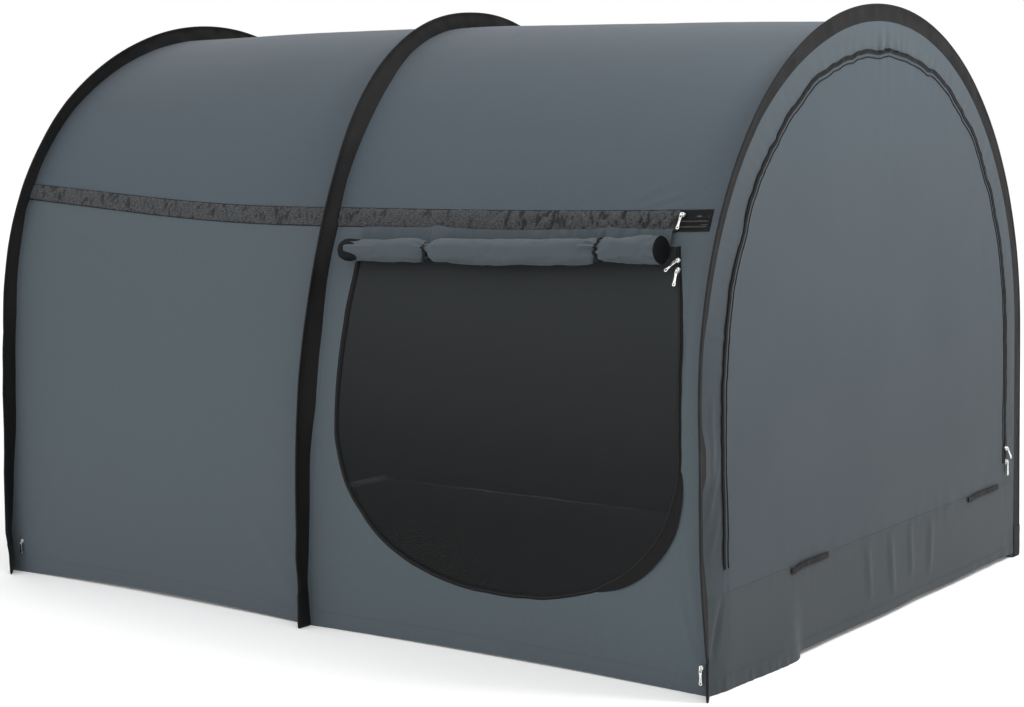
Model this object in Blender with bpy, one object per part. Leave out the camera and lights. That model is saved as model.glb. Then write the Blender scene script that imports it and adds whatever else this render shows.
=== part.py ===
"""Bed tent: three sprung hoops in flat fabric sleeves carry a fabric shell that stands over a mattress.

Metres, +Z up. +X runs along the bed to the front end, whose arched door shows its zip pulls, and -Y is the
left side, as seen by someone who looks out of the front door. The origin is on the floor, under the middle of
the whole object. Fabric is drawn thicker than the cloth it stands for.
"""

import math

import bmesh
import bpy
import numpy as np
from mathutils import Matrix, Vector

# Driving dimensions
LENGTH = 2.03  # between the end hoops, the length of a queen mattress
WIDTH = 1.522  # over the sleeves of the end hoops
END_HEIGHT = 1.368
MIDDLE_HEIGHT = 1.380
CENTRE_SHIFT = -0.0034  # the front door's pulls stand out, so the hoops sit this far back from the middle

# Hoops: a straight leg up to the shoulder, then an arch of the given power (2 is an ellipse)
END_SHOULDER = 0.57
END_POWER = 2.034
MIDDLE_POWER = 2.216
MIDDLE_OFFSET = -0.030  # foot of the middle hoop from the middle of the length
MIDDLE_LEAN = -0.071  # its top leans towards the back
MIDDLE_HALF_WIDTH = 0.768
BACK_EAVE_HEIGHT = 0.955
MIDDLE_EAVE_HEIGHT = 0.915
FRONT_EAVE_HEIGHT = 0.940

# Sleeves, poles and foot pockets
SLEEVE_WIDTH = 0.038
SLEEVE_THICKNESS = 0.009
SLEEVE_BEVEL = 0.0025
CHANNEL_WIDTH = 0.034
CHANNEL_THICKNESS = 0.0066
POLE_RADIUS = 0.003
POLE_SIDES = 6
POCKET_HEIGHT = 0.072
POCKET_THICKNESS = 0.013
POCKET_LIP = 0.0015
POCKET_FLOOR = 0.004

# Fabric shell
FABRIC = 0.003
ROOF_SAG = 0.006
WALL_SAG = 0.012
HEM_RISE = 0.005
WALL_STEPS = 8
ROOF_STEPS = 18
BAY_STEPS = 8
BAND_HEIGHT = 0.044
BAND_STEPS = 3

# Window in the front bay of each side
WINDOW_BACK_X = 0.037
WINDOW_FRONT_X = 0.938
WINDOW_TOP = 0.884
WINDOW_BOTTOM = 0.140
WINDOW_SPRING = 0.500  # height where the round bottom starts
WINDOW_POWER = 2.3
WINDOW_LEAN = 0.039  # how far the top of its front edge leans back
WINDOW_LEAN_FROM = 0.650  # height where that lean starts
WINDOW_LEAN_STEPS = 6
WINDOW_CUT = (0.45, 0.95)  # the prism that cuts a window runs between these distances from the middle
MESH_THICKNESS = 0.002
ZIP_WIDTH = 0.008
ZIP_THICKNESS = 0.002
ZIP_STEPS = 40
ZIP_SEAT = 0.0009  # the flat strip's height over the curved cloth, which its facets come up to

# Rolled window cover and its two ties
ROLL_RADIUS = 0.027
ROLL_BORE = 0.009
ROLL_SETTLE = 0.0007  # the roll lies this much closer, because its flat facets stand off the zip
ROLL_BACK_X = 0.000
ROLL_FRONT_X = 0.885
ROLL_BACK_Z = 0.842
ROLL_FRONT_Z = 0.874
ROLL_SIDES = 14
ROLL_STEPS = 8
TIE_XS = (0.233, 0.706)
TIE_WIDTH = 0.024
TIE_THICKNESS = 0.0018

# End walls
DOOR_HALF_WIDTH = 0.668
DOOR_BOTTOM = 0.200
DOOR_SPRING = 0.550
DOOR_TOP = 1.263
DOOR_POWER = 2.1
ARCH_STEPS = 26

# Zip sliders and pulls, in each slider's own frame: x across, -y out of the fabric, z up the pull
SLIDER_LENGTH = 0.012
SLIDER_WIDTH = 0.009
SLIDER_BODY = 0.005
BRIDGE_WIDTH = 0.0024
BRIDGE_LENGTH = 0.009
BRIDGE_HEIGHT = 0.0042
BRIDGE_HOLE_LENGTH = 0.006
BRIDGE_HOLE_HEIGHT = 0.0027
PULL_LENGTH = 0.032
PULL_THICKNESS = 0.0016
PULL_TOP_WIDTH = 0.0068
PULL_END_WIDTH = 0.0084
PULL_SLOT_WIDTH = 0.0044
PULL_SLOT_LENGTH = 0.0048
PULL_EYE = 0.0018
PIN_Z = -0.0018
PIN_OUT = 0.0067

PULL_END_STEPS = 8  # flats round the pull's free end
PULL_EYE_SIDES = 8
HOLE_REACH = 1.2  # the bridge's hole is cut this much wider than the slider

# Where each slider of the left side and of the front door stands
WINDOW_UPPER_Z = 0.856
WINDOW_UPPER_TILT = 45.0
WINDOW_LOWER_Z = 0.838
EAVE_SLIDER_INSET = 0.115  # from the front hoop
EAVE_SLIDER_RISE = 0.004  # above the front hoop's eave
CORNER_FRONT_INSET = 0.022  # of the front corner zip's slider from its hoop
CORNER_BACK_INSET = 0.0125
CORNER_FRONT_Z = 0.056
CORNER_BACK_Z = 0.079
DOOR_UPPER_Z = 0.285
DOOR_UPPER_TILT = -38.0
DOOR_LOWER_Z = 0.252

GAP = 0.0003  # between pieces that touch
PROBE = 0.004  # step, as a share of a bay, over which a surface's slope is read
PROFILE_POINTS = 400  # that follow half a hoop
HALVINGS = 40  # of the range in which a wall's height is sought
EAVE_T = 0.27  # place of the eave along a hoop, where 0 is the left foot, 0.5 the top and 1 the right foot

SLATE = (0.100, 0.128, 0.146)
SLATE_DARK = (0.074, 0.090, 0.102)
HEATHER = (0.085, 0.090, 0.094)
BLACK = (0.010, 0.011, 0.012)
MESH_BLACK = (0.016, 0.018, 0.020)
SILVER = (0.70, 0.70, 0.68)
FIBREGLASS = (0.05, 0.05, 0.055)


def clear_scene():
    for scene_object in list(bpy.data.objects):
        bpy.data.objects.remove(scene_object, do_unlink=True)


def make_material(name, colour, roughness, metallic=0.0):
    material = bpy.data.materials.new(name)
    material.use_nodes = True
    shader = material.node_tree.nodes["Principled BSDF"]
    shader.inputs["Base Color"].default_value = (*colour, 1.0)
    shader.inputs["Roughness"].default_value = roughness
    shader.inputs["Metallic"].default_value = metallic
    material.diffuse_color = (*colour, 1.0)
    return material


def prism_faces(count):
    """The faces of a prism whose two ends have this many corners."""
    faces = [tuple(range(count)), tuple(range(count, 2 * count))]
    for k in range(count):
        following = (k + 1) % count
        faces.append((k, following, count + following, count + k))
    return faces


def make_object(name, vertices, faces, material):
    """A mesh object from points and faces, with every face turned outwards."""
    mesh = bpy.data.meshes.new(name)
    mesh.from_pydata([tuple(map(float, vertex)) for vertex in vertices], [], faces)
    shape = bmesh.new()
    shape.from_mesh(mesh)
    bmesh.ops.recalc_face_normals(shape, faces=shape.faces)
    shape.to_mesh(mesh)
    shape.free()
    mesh.materials.append(material)
    part = bpy.data.objects.new(name, mesh)
    bpy.context.scene.collection.objects.link(part)
    return part


def cut(part, cutter, operation="DIFFERENCE"):
    """Adds a Boolean, and hides its cutter."""
    cutter.hide_render = True
    cutter.display_type = "WIRE"
    modifier = part.modifiers.new(cutter.name, "BOOLEAN")
    modifier.operation = operation
    modifier.solver = "EXACT"
    modifier.object = cutter
    return part


class Hoop:
    """One hoop: the outer edge of its sleeve, and the line just inside the sleeve that the fabric follows."""

    def __init__(self, name, x, height, half_width, shoulder, power, lean, eave_height):
        self.name = name
        self.x = x
        self.height = height
        self.lean = lean
        angles = np.linspace(0.0, math.pi / 2, PROFILE_POINTS)
        z = shoulder + (height - shoulder) * np.sin(angles) ** (2 / power)
        y = -half_width * np.cos(angles) ** (2 / power)
        if shoulder > 0:
            leg = np.linspace(0.0, shoulder, PROFILE_POINTS, endpoint=False)
            z = np.concatenate([leg, z])
            y = np.concatenate([np.full_like(leg, -half_width), y])
        tangent_y = np.gradient(y)
        tangent_z = np.gradient(z)
        size = np.hypot(tangent_y, tangent_z)
        self.normal_y = -tangent_z / size
        self.normal_z = tangent_y / size
        self.normal_y[0], self.normal_z[0] = -1.0, 0.0
        self.normal_y[-1], self.normal_z[-1] = 0.0, 1.0
        self.line_y = y - SLEEVE_WIDTH * self.normal_y
        self.line_z = z - SLEEVE_WIDTH * self.normal_z
        steps = np.hypot(np.diff(self.line_y), np.diff(self.line_z))
        self.length = np.concatenate([[0.0], np.cumsum(steps)])
        self.eave_length = float(np.interp(eave_height, self.line_z, self.length))

    def t_from_foot(self, length):
        """The place of a point on the leg that is this far along the fabric line from the floor."""
        return EAVE_T * length / self.eave_length

    def point(self, t, lift):
        """The point at t round the hoop, this far outside the fabric line, and the outward normal there."""
        half_t = min(t, 1.0 - t)
        if half_t <= EAVE_T:
            along = self.eave_length * half_t / EAVE_T
        else:
            share = (half_t - EAVE_T) / (0.5 - EAVE_T)
            along = self.eave_length + (self.length[-1] - self.eave_length) * share
        y = np.interp(along, self.length, self.line_y)
        z = np.interp(along, self.length, self.line_z)
        normal_y = np.interp(along, self.length, self.normal_y)
        normal_z = np.interp(along, self.length, self.normal_z)
        normal = np.array([0.0, normal_y, normal_z])
        if t > 0.5:
            y = -y
            normal[1] = -normal[1]
        normal /= np.linalg.norm(normal)
        place = np.array([self.x + self.lean * z / self.height, y, z])
        return place + lift * normal, normal


BACK_HOOP = Hoop(
    "back", CENTRE_SHIFT - LENGTH / 2, END_HEIGHT, WIDTH / 2, END_SHOULDER, END_POWER, 0.0, BACK_EAVE_HEIGHT
)
MIDDLE_HOOP = Hoop(
    "middle",
    CENTRE_SHIFT + MIDDLE_OFFSET,
    MIDDLE_HEIGHT,
    MIDDLE_HALF_WIDTH,
    0.0,
    MIDDLE_POWER,
    MIDDLE_LEAN,
    MIDDLE_EAVE_HEIGHT,
)
FRONT_HOOP = Hoop(
    "front", CENTRE_SHIFT + LENGTH / 2, END_HEIGHT, WIDTH / 2, END_SHOULDER, END_POWER, 0.0, FRONT_EAVE_HEIGHT
)
HOOPS = (BACK_HOOP, MIDDLE_HOOP, FRONT_HOOP)
BAYS = {"back": (BACK_HOOP, MIDDLE_HOOP), "front": (MIDDLE_HOOP, FRONT_HOOP)}

WALL_TS = [EAVE_T * step / WALL_STEPS for step in range(WALL_STEPS + 1)]
ROOF_TS = [EAVE_T + (1 - 2 * EAVE_T) * step / ROOF_STEPS for step in range(ROOF_STEPS + 1)]
ALL_TS = WALL_TS[:-1] + ROOF_TS + [1 - t for t in WALL_TS[-2::-1]]


def shell_point(bay, u, t, lift):
    """A point of the fabric at u along the bay and t round it, lifted off its outer face, and the normal."""
    first, second = BAYS[bay]
    place_a, normal_a = first.point(t, 0.0)
    place_b, normal_b = second.point(t, 0.0)
    normal = (1 - u) * normal_a + u * normal_b
    normal /= np.linalg.norm(normal)
    bow = 4 * u * (1 - u)
    down_wall = max(0.0, 1 - min(t, 1 - t) / EAVE_T)
    sag = bow * (ROOF_SAG + (WALL_SAG - ROOF_SAG) * down_wall)
    place = (1 - u) * place_a + u * place_b + (lift - sag) * normal
    place[2] += HEM_RISE * bow * down_wall
    return place, normal


def wall_place(bay, side, x, z):
    """The u and t of the point of a side wall that lies at this x and height."""
    first, second = BAYS[bay]
    start = first.x + first.lean * z / first.height
    end = second.x + second.lean * z / second.height
    u = (x - start) / (end - start)
    low, high = 0.0, 0.5
    for _ in range(HALVINGS):
        middle = (low + high) / 2
        if shell_point(bay, u, middle, 0.0)[0][2] < z:
            low = middle
        else:
            high = middle
    return u, (low if side == "left" else 1 - low)


def wall_surface(bay, side, x, z, lift):
    """A point lifted straight off a side wall at this x and height, and the wall's true normal there."""
    u, t = wall_place(bay, side, x, z)
    place, rough = shell_point(bay, u, t, 0.0)
    along_u = shell_point(bay, u + PROBE, t, 0.0)[0] - shell_point(bay, u - PROBE, t, 0.0)[0]
    along_t = shell_point(bay, u, t + PROBE, 0.0)[0] - shell_point(bay, u, t - PROBE, 0.0)[0]
    normal = np.cross(along_u, along_t)
    normal /= math.copysign(np.linalg.norm(normal), normal @ rough)
    return place + lift * normal, normal


def bay_us(bay, first_clear, second_clear):
    """Steps along a bay that stop this far short of its two hoops."""
    first, second = BAYS[bay]
    span = second.x - first.x
    return np.linspace(first_clear / span, 1 - second_clear / span, BAY_STEPS + 1)


def sheet_solid(name, outer, inner, material):
    """A closed skin between two grids of points."""
    rows, columns = outer.shape[:2]
    vertices = np.concatenate([outer.reshape(-1, 3), inner.reshape(-1, 3)])
    below = rows * columns
    faces = []
    for i in range(rows - 1):
        for j in range(columns - 1):
            a = i * columns + j
            quad = (a, a + 1, a + columns + 1, a + columns)
            faces.append(quad)
            faces.append(tuple(below + corner for corner in reversed(quad)))
    border = list(range(columns))
    border += [i * columns + columns - 1 for i in range(1, rows)]
    border += [(rows - 1) * columns + j for j in range(columns - 2, -1, -1)]
    border += [i * columns for i in range(rows - 2, 0, -1)]
    for a, b in zip(border, border[1:] + border[:1]):
        faces.append((a, b, below + b, below + a))
    return make_object(name, vertices, faces, material)


def shell_sheet(name, bay, us, ts, lift, thickness, material):
    """A piece of the fabric shell whose outer face has this lift."""
    outer = np.array([[shell_point(bay, u, t, lift)[0] for t in ts] for u in us])
    inner = np.array([[shell_point(bay, u, t, lift - thickness)[0] for t in ts] for u in us])
    return sheet_solid(name, outer, inner, material)


def swept(name, stations, ring, material, bore=None, blind_start=False):
    """A ring of (a, b) offsets carried along stations of (place, axis a, axis b), with an open bore if given.

    A blind start closes the bore at its own first station, which then comes before the second outer one.
    """
    vertices = []
    faces = []

    def add_tube(offsets, places):
        start = len(vertices)
        for place, axis_a, axis_b in places:
            vertices.extend(place + a * axis_a + b * axis_b for a, b in offsets)
        count = len(offsets)
        for row in range(len(places) - 1):
            for k in range(count):
                a = start + row * count + k
                b = start + row * count + (k + 1) % count
                faces.append((a, b, b + count, a + count))
        last = start + (len(places) - 1) * count
        return list(range(start, start + count)), list(range(last, last + count))

    outer_start, outer_end = add_tube(ring, stations["outer"])
    if bore is None:
        faces.append(tuple(outer_start))
        faces.append(tuple(outer_end))
        return make_object(name, vertices, faces, material)
    inner_start, inner_end = add_tube(bore, stations["bore"])
    count = len(ring)
    if blind_start:
        faces.append(tuple(outer_start))
        faces.append(tuple(inner_start))
    else:
        for k in range(count):
            following = (k + 1) % count
            faces.append((outer_start[k], outer_start[following], inner_start[following], inner_start[k]))
    for k in range(count):
        following = (k + 1) % count
        faces.append((outer_end[k], outer_end[following], inner_end[following], inner_end[k]))
    return make_object(name, vertices, faces, material)


def bevelled_ring(low, high, half_thickness, bevel):
    """An eight-sided section from low to high across, with its corners cut."""
    return [
        (low + bevel, -half_thickness),
        (high - bevel, -half_thickness),
        (high, -half_thickness + bevel),
        (high, half_thickness - bevel),
        (high - bevel, half_thickness),
        (low + bevel, half_thickness),
        (low, half_thickness - bevel),
        (low, -half_thickness + bevel),
    ]


def hoop_stations(hoop, ts):
    """Stations round a hoop: the fabric line, the outward normal, and the direction along the bed."""
    along = np.array([1.0, 0.0, 0.0])
    return [(*hoop.point(t, 0.0), along) for t in ts]


CHANNEL_LOW = (SLEEVE_WIDTH - CHANNEL_WIDTH) / 2
CHANNEL_HIGH = CHANNEL_LOW + CHANNEL_WIDTH
CHANNEL_BEVEL = 0.001
CHANNEL_RING = bevelled_ring(CHANNEL_LOW, CHANNEL_HIGH, CHANNEL_THICKNESS / 2, CHANNEL_BEVEL)


def make_sleeve(hoop, material):
    start = hoop.t_from_foot(POCKET_HEIGHT + GAP)
    ts = [start] + [t for t in ALL_TS if start < t < 1 - start] + [1 - start]
    stations = hoop_stations(hoop, ts)
    ring = bevelled_ring(GAP, SLEEVE_WIDTH, SLEEVE_THICKNESS / 2, SLEEVE_BEVEL)
    return swept(f"sleeve_{hoop.name}", {"outer": stations, "bore": stations}, ring, material, CHANNEL_RING)


def make_pole(hoop, material):
    start = hoop.t_from_foot(POCKET_FLOOR + GAP)
    mouth = hoop.t_from_foot(POCKET_HEIGHT)
    ts = [start, mouth] + [t for t in ALL_TS if mouth < t < 1 - mouth] + [1 - mouth, 1 - start]
    centre = CHANNEL_HIGH - GAP - POLE_RADIUS
    ring = []
    for k in range(POLE_SIDES):
        angle = 2 * math.pi * k / POLE_SIDES
        ring.append((centre + POLE_RADIUS * math.cos(angle), POLE_RADIUS * math.sin(angle)))
    return swept(f"pole_{hoop.name}", {"outer": hoop_stations(hoop, ts)}, ring, material)


def make_pocket(hoop, side, material):
    ts = [0.0, hoop.t_from_foot(POCKET_HEIGHT)]
    bore_ts = [hoop.t_from_foot(POCKET_FLOOR), ts[1]]
    if side == "right":
        ts = [1 - t for t in ts]
        bore_ts = [1 - t for t in bore_ts]
    stations = {"outer": hoop_stations(hoop, ts), "bore": hoop_stations(hoop, bore_ts)}
    ring = bevelled_ring(GAP, SLEEVE_WIDTH + POCKET_LIP, POCKET_THICKNESS / 2, SLEEVE_BEVEL)
    return swept(f"foot_pocket_{side}_{hoop.name}", stations, ring, material, CHANNEL_RING, blind_start=True)


def window_front_x(z):
    """The window's front edge at this height: straight, and leaning back towards the top."""
    rise = max(0.0, z - WINDOW_LEAN_FROM) / (WINDOW_TOP - WINDOW_LEAN_FROM)
    return WINDOW_FRONT_X - WINDOW_LEAN * rise**2


def window_outline(margin):
    """The window's outline as (x, z), drawn this far inside its edge, with a round bottom."""
    middle = (WINDOW_BACK_X + WINDOW_FRONT_X) / 2
    half = (WINDOW_FRONT_X - WINDOW_BACK_X) / 2 - margin
    depth = WINDOW_SPRING - WINDOW_BOTTOM - margin
    heights = np.linspace(WINDOW_TOP, WINDOW_LEAN_FROM, WINDOW_LEAN_STEPS + 1)
    points = [(window_front_x(z) - margin, min(z, WINDOW_TOP - margin)) for z in heights]
    for step in range(ARCH_STEPS + 1):
        angle = math.pi * step / ARCH_STEPS
        across = math.copysign(abs(math.cos(angle)) ** (2 / WINDOW_POWER), math.cos(angle))
        down = math.sin(angle) ** (2 / WINDOW_POWER) if step not in (0, ARCH_STEPS) else 0.0
        points.append((middle + half * across, WINDOW_SPRING - depth * down))
    points.append((middle - half, WINDOW_TOP - margin))
    return points


def window_prism(name, side, margin, material):
    """A block with the window's outline that passes through a side wall."""
    outline = window_outline(margin)
    near, far = (-y if side == "left" else y for y in WINDOW_CUT)
    vertices = [(x, near, z) for x, z in outline] + [(x, far, z) for x, z in outline]
    return make_object(name, vertices, prism_faces(len(outline)), material)


def make_wall(side, bay, material):
    """A side wall from hem to eave, with its window cut through in the front bay."""
    clear_ends = (FABRIC / 2 + GAP, GAP / 2) if bay == "back" else (GAP / 2, FABRIC / 2 + GAP)
    ts = WALL_TS if side == "left" else [1 - t for t in WALL_TS]
    wall = shell_sheet(f"wall_{side}_{bay}", bay, bay_us(bay, *clear_ends), ts, 0.0, FABRIC, material)
    if bay == "front":
        cut(wall, window_prism(f"window_cutter_{side}", side, 0.0, material))
    return wall


def make_roof(bay, material):
    clear_ends = (FABRIC / 2 + GAP, GAP / 2) if bay == "back" else (GAP / 2, FABRIC / 2 + GAP)
    start = EAVE_T + GAP * EAVE_T / MIDDLE_HOOP.eave_length
    ts = [start] + ROOF_TS[1:-1] + [1 - start]
    return shell_sheet(f"roof_{bay}", bay, bay_us(bay, *clear_ends), ts, 0.0, FABRIC, material)


def make_window_mesh(side, material):
    ts = WALL_TS if side == "left" else [1 - t for t in WALL_TS]
    lift = -(FABRIC - MESH_THICKNESS) / 2
    us = bay_us("front", GAP, FABRIC)
    panel = shell_sheet(f"window_mesh_{side}", "front", us, ts, lift, MESH_THICKNESS, material)
    return cut(panel, window_prism(f"window_mesh_cutter_{side}", side, GAP, material), "INTERSECT")


def resample(points, count):
    """The same outline with this many points, evenly spaced, its ends kept."""
    points = np.array(points)
    steps = np.hypot(*np.diff(points, axis=0).T)
    length = np.concatenate([[0.0], np.cumsum(steps)])
    places = np.linspace(0.0, length[-1], count)
    return np.column_stack([np.interp(places, length, points[:, k]) for k in (0, 1)])


def band_stations(points, normals):
    """Stations for a flat strip on a surface: axis a lies across the strip, axis b points outwards."""
    stations = []
    for k, (place, normal) in enumerate(zip(points, normals)):
        forward = points[min(k + 1, len(points) - 1)] - points[max(k - 1, 0)]
        across = np.cross(normal, forward)
        stations.append((place, across / np.linalg.norm(across), normal))
    return stations


ZIP_RING = [
    (-ZIP_WIDTH / 2, 0.0),
    (ZIP_WIDTH / 2, 0.0),
    (ZIP_WIDTH / 2, ZIP_THICKNESS),
    (-ZIP_WIDTH / 2, ZIP_THICKNESS),
]


def make_window_zip(side, material):
    """The zip round the window, one flat strip over the edge between mesh and wall."""
    outline = resample(window_outline(0.0), ZIP_STEPS)
    surface = [wall_surface("front", side, x, z, ZIP_SEAT) for x, z in outline]
    stations = band_stations([place for place, _ in surface], [normal for _, normal in surface])
    return swept(f"window_zip_{side}", {"outer": stations}, ZIP_RING, material)


def make_eave_band(side, bay, material):
    """The strip of heathered cloth that covers the long zip between wall and roof."""
    clear = SLEEVE_THICKNESS / 2 + GAP
    lift = GAP + FABRIC
    half = EAVE_T * BAND_HEIGHT / 2 / MIDDLE_HOOP.eave_length
    ts = [EAVE_T - half + 2 * half * step / BAND_STEPS for step in range(BAND_STEPS + 1)]
    ts = ts if side == "left" else [1 - t for t in ts]
    return shell_sheet(f"eave_band_{side}_{bay}", bay, bay_us(bay, clear, clear), ts, lift, FABRIC, material)


def roll_axis(side, x):
    """The middle of the rolled cover at this x, and the wall's normal there."""
    share = (x - ROLL_BACK_X) / (ROLL_FRONT_X - ROLL_BACK_X)
    z = ROLL_BACK_Z + (ROLL_FRONT_Z - ROLL_BACK_Z) * share
    lift = ZIP_SEAT + ZIP_THICKNESS + GAP + ROLL_RADIUS - ROLL_SETTLE
    return wall_surface("front", side, x, z, lift)


def ring_about(radius, sides):
    angles = [2 * math.pi * k / sides for k in range(sides)]
    return [(radius * math.cos(angle), radius * math.sin(angle)) for angle in angles]


def make_cover(side, material):
    """The window's cover, rolled up and open at both ends."""
    xs = np.linspace(ROLL_BACK_X, ROLL_FRONT_X, ROLL_STEPS + 1)
    axis = [roll_axis(side, x) for x in xs]
    stations = band_stations([place for place, _ in axis], [normal for _, normal in axis])
    both = {"outer": stations, "bore": stations}
    ring = ring_about(ROLL_RADIUS, ROLL_SIDES)
    return swept(f"window_cover_{side}", both, ring, material, ring_about(ROLL_BORE, ROLL_SIDES))


def make_tie(side, number, x, material):
    """A band that goes right round the rolled cover."""
    axis = [roll_axis(side, x + offset) for offset in (-TIE_WIDTH / 2, 0.0, TIE_WIDTH / 2)]
    stations = band_stations([place for place, _ in axis], [normal for _, normal in axis])
    both = {"outer": stations, "bore": stations}
    inside = (ROLL_RADIUS + GAP) / math.cos(math.pi / ROLL_SIDES)
    ring = ring_about(inside + TIE_THICKNESS, ROLL_SIDES)
    return swept(f"cover_tie_{side}_{number}", both, ring, material, ring_about(inside, ROLL_SIDES))


def door_outline(margin):
    """The door's arch as (y, z), drawn this far inside its edge, from its left foot to its right foot."""
    half = DOOR_HALF_WIDTH - margin
    rise = DOOR_TOP - DOOR_SPRING - margin
    points = [(-half, DOOR_BOTTOM + GAP)]
    for step in range(ARCH_STEPS + 1):
        angle = math.pi * (1 - step / ARCH_STEPS)
        across = math.copysign(abs(math.cos(angle)) ** (2 / DOOR_POWER), math.cos(angle))
        up = math.sin(angle) ** (2 / DOOR_POWER) if step not in (0, ARCH_STEPS) else 0.0
        points.append((half * across, DOOR_SPRING + rise * up))
    points.append((half, DOOR_BOTTOM + GAP))
    return points


def end_outline(hoop):
    """The line just inside an end sleeve as (y, z), from the door's foot on one side to that on the other."""
    start = hoop.t_from_foot(DOOR_BOTTOM + GAP)
    ts = [start] + [t for t in ALL_TS if start < t < 1 - start] + [1 - start]
    return [tuple(hoop.point(t, -GAP)[0][1:]) for t in ts]


def plate_x(hoop):
    return hoop.x - FABRIC / 2, hoop.x + FABRIC / 2


def flat_plate(name, outline, hoop, material):
    """A flat piece of an end wall with this (y, z) outline."""
    low, high = plate_x(hoop)
    vertices = [(low, y, z) for y, z in outline] + [(high, y, z) for y, z in outline]
    return make_object(name, vertices, prism_faces(len(outline)), material)


def make_surround(hoop, material):
    """The flat arch of fabric between an end sleeve and the door's zip."""
    outside = end_outline(hoop)
    inside = door_outline(0.0)
    inside = resample(inside, len(outside))
    grids = []
    for x in plate_x(hoop):
        grids.append([[(x, *outer) for outer in outside], [(x, *inner) for inner in inside]])
    high, low = np.array(grids[1]), np.array(grids[0])
    return sheet_solid(f"end_surround_{hoop.name}", high, low, material)


def make_door(hoop, material):
    outline = resample(door_outline(0.0), len(end_outline(hoop)))
    middle = np.array([0.0, (DOOR_BOTTOM + DOOR_TOP) / 2])
    inward = []
    for point in outline:
        direction = point - middle
        inward.append(tuple(point - 2 * GAP * direction / np.linalg.norm(direction)))
    return flat_plate(f"door_{hoop.name}", inward, hoop, material)


def make_skirt(hoop, material):
    """The strip below an end door, down to the floor."""
    half = -hoop.point(0.0, -GAP)[0][1]
    outline = [(-half, 0.0), (half, 0.0), (half, DOOR_BOTTOM), (-half, DOOR_BOTTOM)]
    return flat_plate(f"skirt_{hoop.name}", outline, hoop, material)


def make_door_zip(hoop, outward, material):
    """The zip round an end door, one flat strip over its edge."""
    face = hoop.x + outward * (FABRIC / 2 + GAP)
    points = [np.array([face, y, z]) for y, z in door_outline(0.0)]
    normals = [np.array([outward, 0.0, 0.0])] * len(points)
    stations = band_stations(points, normals)
    return swept(f"door_zip_{hoop.name}", {"outer": stations}, ZIP_RING, material)


def box_points(x_range, y_range, z_range):
    return [(x, y, z) for x in x_range for y in y_range for z in z_range]


BOX_FACES = [(0, 1, 3, 2), (4, 6, 7, 5), (0, 4, 5, 1), (2, 3, 7, 6), (0, 2, 6, 4), (1, 5, 7, 3)]


def make_box(name, x_half, out_range, z_half, material):
    """A box in a slider's frame, between two heights out of the fabric."""
    low, high = out_range
    points = box_points((-x_half, x_half), (-high, -low), (-z_half, z_half))
    return make_object(name, points, BOX_FACES, material)


def make_slider(name, frame, turned, material):
    """A zip slider on the surface of its frame: a body, and a bridge whose hole takes the pull's bar."""
    length, width = (SLIDER_WIDTH, SLIDER_LENGTH) if turned else (SLIDER_LENGTH, SLIDER_WIDTH)
    top = GAP + SLIDER_BODY
    body = make_box(name, width / 2, (GAP, top), length / 2, material)
    bridge_reach = (top / 2, top + BRIDGE_HEIGHT)
    bridge = make_box(f"{name}_bridge", BRIDGE_WIDTH / 2, bridge_reach, BRIDGE_LENGTH / 2, material)
    hole_reach = (top, top + BRIDGE_HOLE_HEIGHT)
    hole = make_box(f"{name}_hole", HOLE_REACH * width / 2, hole_reach, BRIDGE_HOLE_LENGTH / 2, material)
    cut(body, bridge, "UNION")
    cut(body, hole)
    for piece in (body, bridge, hole):
        piece.matrix_world = frame
    return body


def pull_outline():
    """The pull's plate as (x, z) from its bar down, one side after the other, with a round end."""
    bar = PULL_THICKNESS / 2
    shoulder = -bar - PULL_SLOT_LENGTH
    radius = PULL_END_WIDTH / 2
    end_centre = -PULL_LENGTH + radius
    right = [(PULL_TOP_WIDTH / 2, bar), (PULL_TOP_WIDTH / 2, shoulder)]
    for step in range(PULL_END_STEPS + 1):
        angle = math.pi * step / PULL_END_STEPS
        right.append((radius * math.cos(angle), end_centre - radius * math.sin(angle)))
    return right + [(-PULL_TOP_WIDTH / 2, shoulder), (-PULL_TOP_WIDTH / 2, bar)]


def pull_plate(name, outline, half, material):
    """A flat plate in the pull's own frame with this (x, z) outline."""
    vertices = [(x, -half, z) for x, z in outline] + [(x, half, z) for x, z in outline]
    return make_object(name, vertices, prism_faces(len(outline)), material)


def make_pull(name, slider_frame, material):
    """A pull tab: its origin is on its hinge, the bar that passes under the slider's bridge."""
    half = PULL_THICKNESS / 2
    pull = pull_plate(name, pull_outline(), half, material)
    half_slot = PULL_SLOT_WIDTH / 2
    slot_foot = -half - PULL_SLOT_LENGTH
    slot_outline = [(-half_slot, slot_foot), (half_slot, slot_foot), (half_slot, -half), (-half_slot, -half)]
    slot = pull_plate(f"{name}_slot", slot_outline, 2 * half, material)
    eye_centre = -PULL_LENGTH + PULL_END_WIDTH / 2
    eye_outline = [(x, z + eye_centre) for x, z in ring_about(PULL_EYE, PULL_EYE_SIDES)]
    eye = pull_plate(f"{name}_eye", eye_outline, 2 * half, material)
    cut(pull, slot)
    cut(pull, eye)
    hinge = slider_frame @ Matrix.Translation(Vector((0.0, -PIN_OUT, PIN_Z)))
    for piece in (pull, slot, eye):
        piece.matrix_world = hinge
    return pull


def surface_frame(place, normal, up, tilt_degrees=0.0):
    """A frame on a surface: -y along the normal, z as near to up as can be, then turned by the tilt."""
    out = Vector(normal).normalized()
    x_axis = (-out).cross(Vector(up)).normalized()
    z_axis = x_axis.cross(-out).normalized()
    turn = Matrix((x_axis, -out, z_axis)).transposed().to_4x4()
    return Matrix.Translation(Vector(place)) @ turn @ Matrix.Rotation(math.radians(tilt_degrees), 4, "Y")


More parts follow.
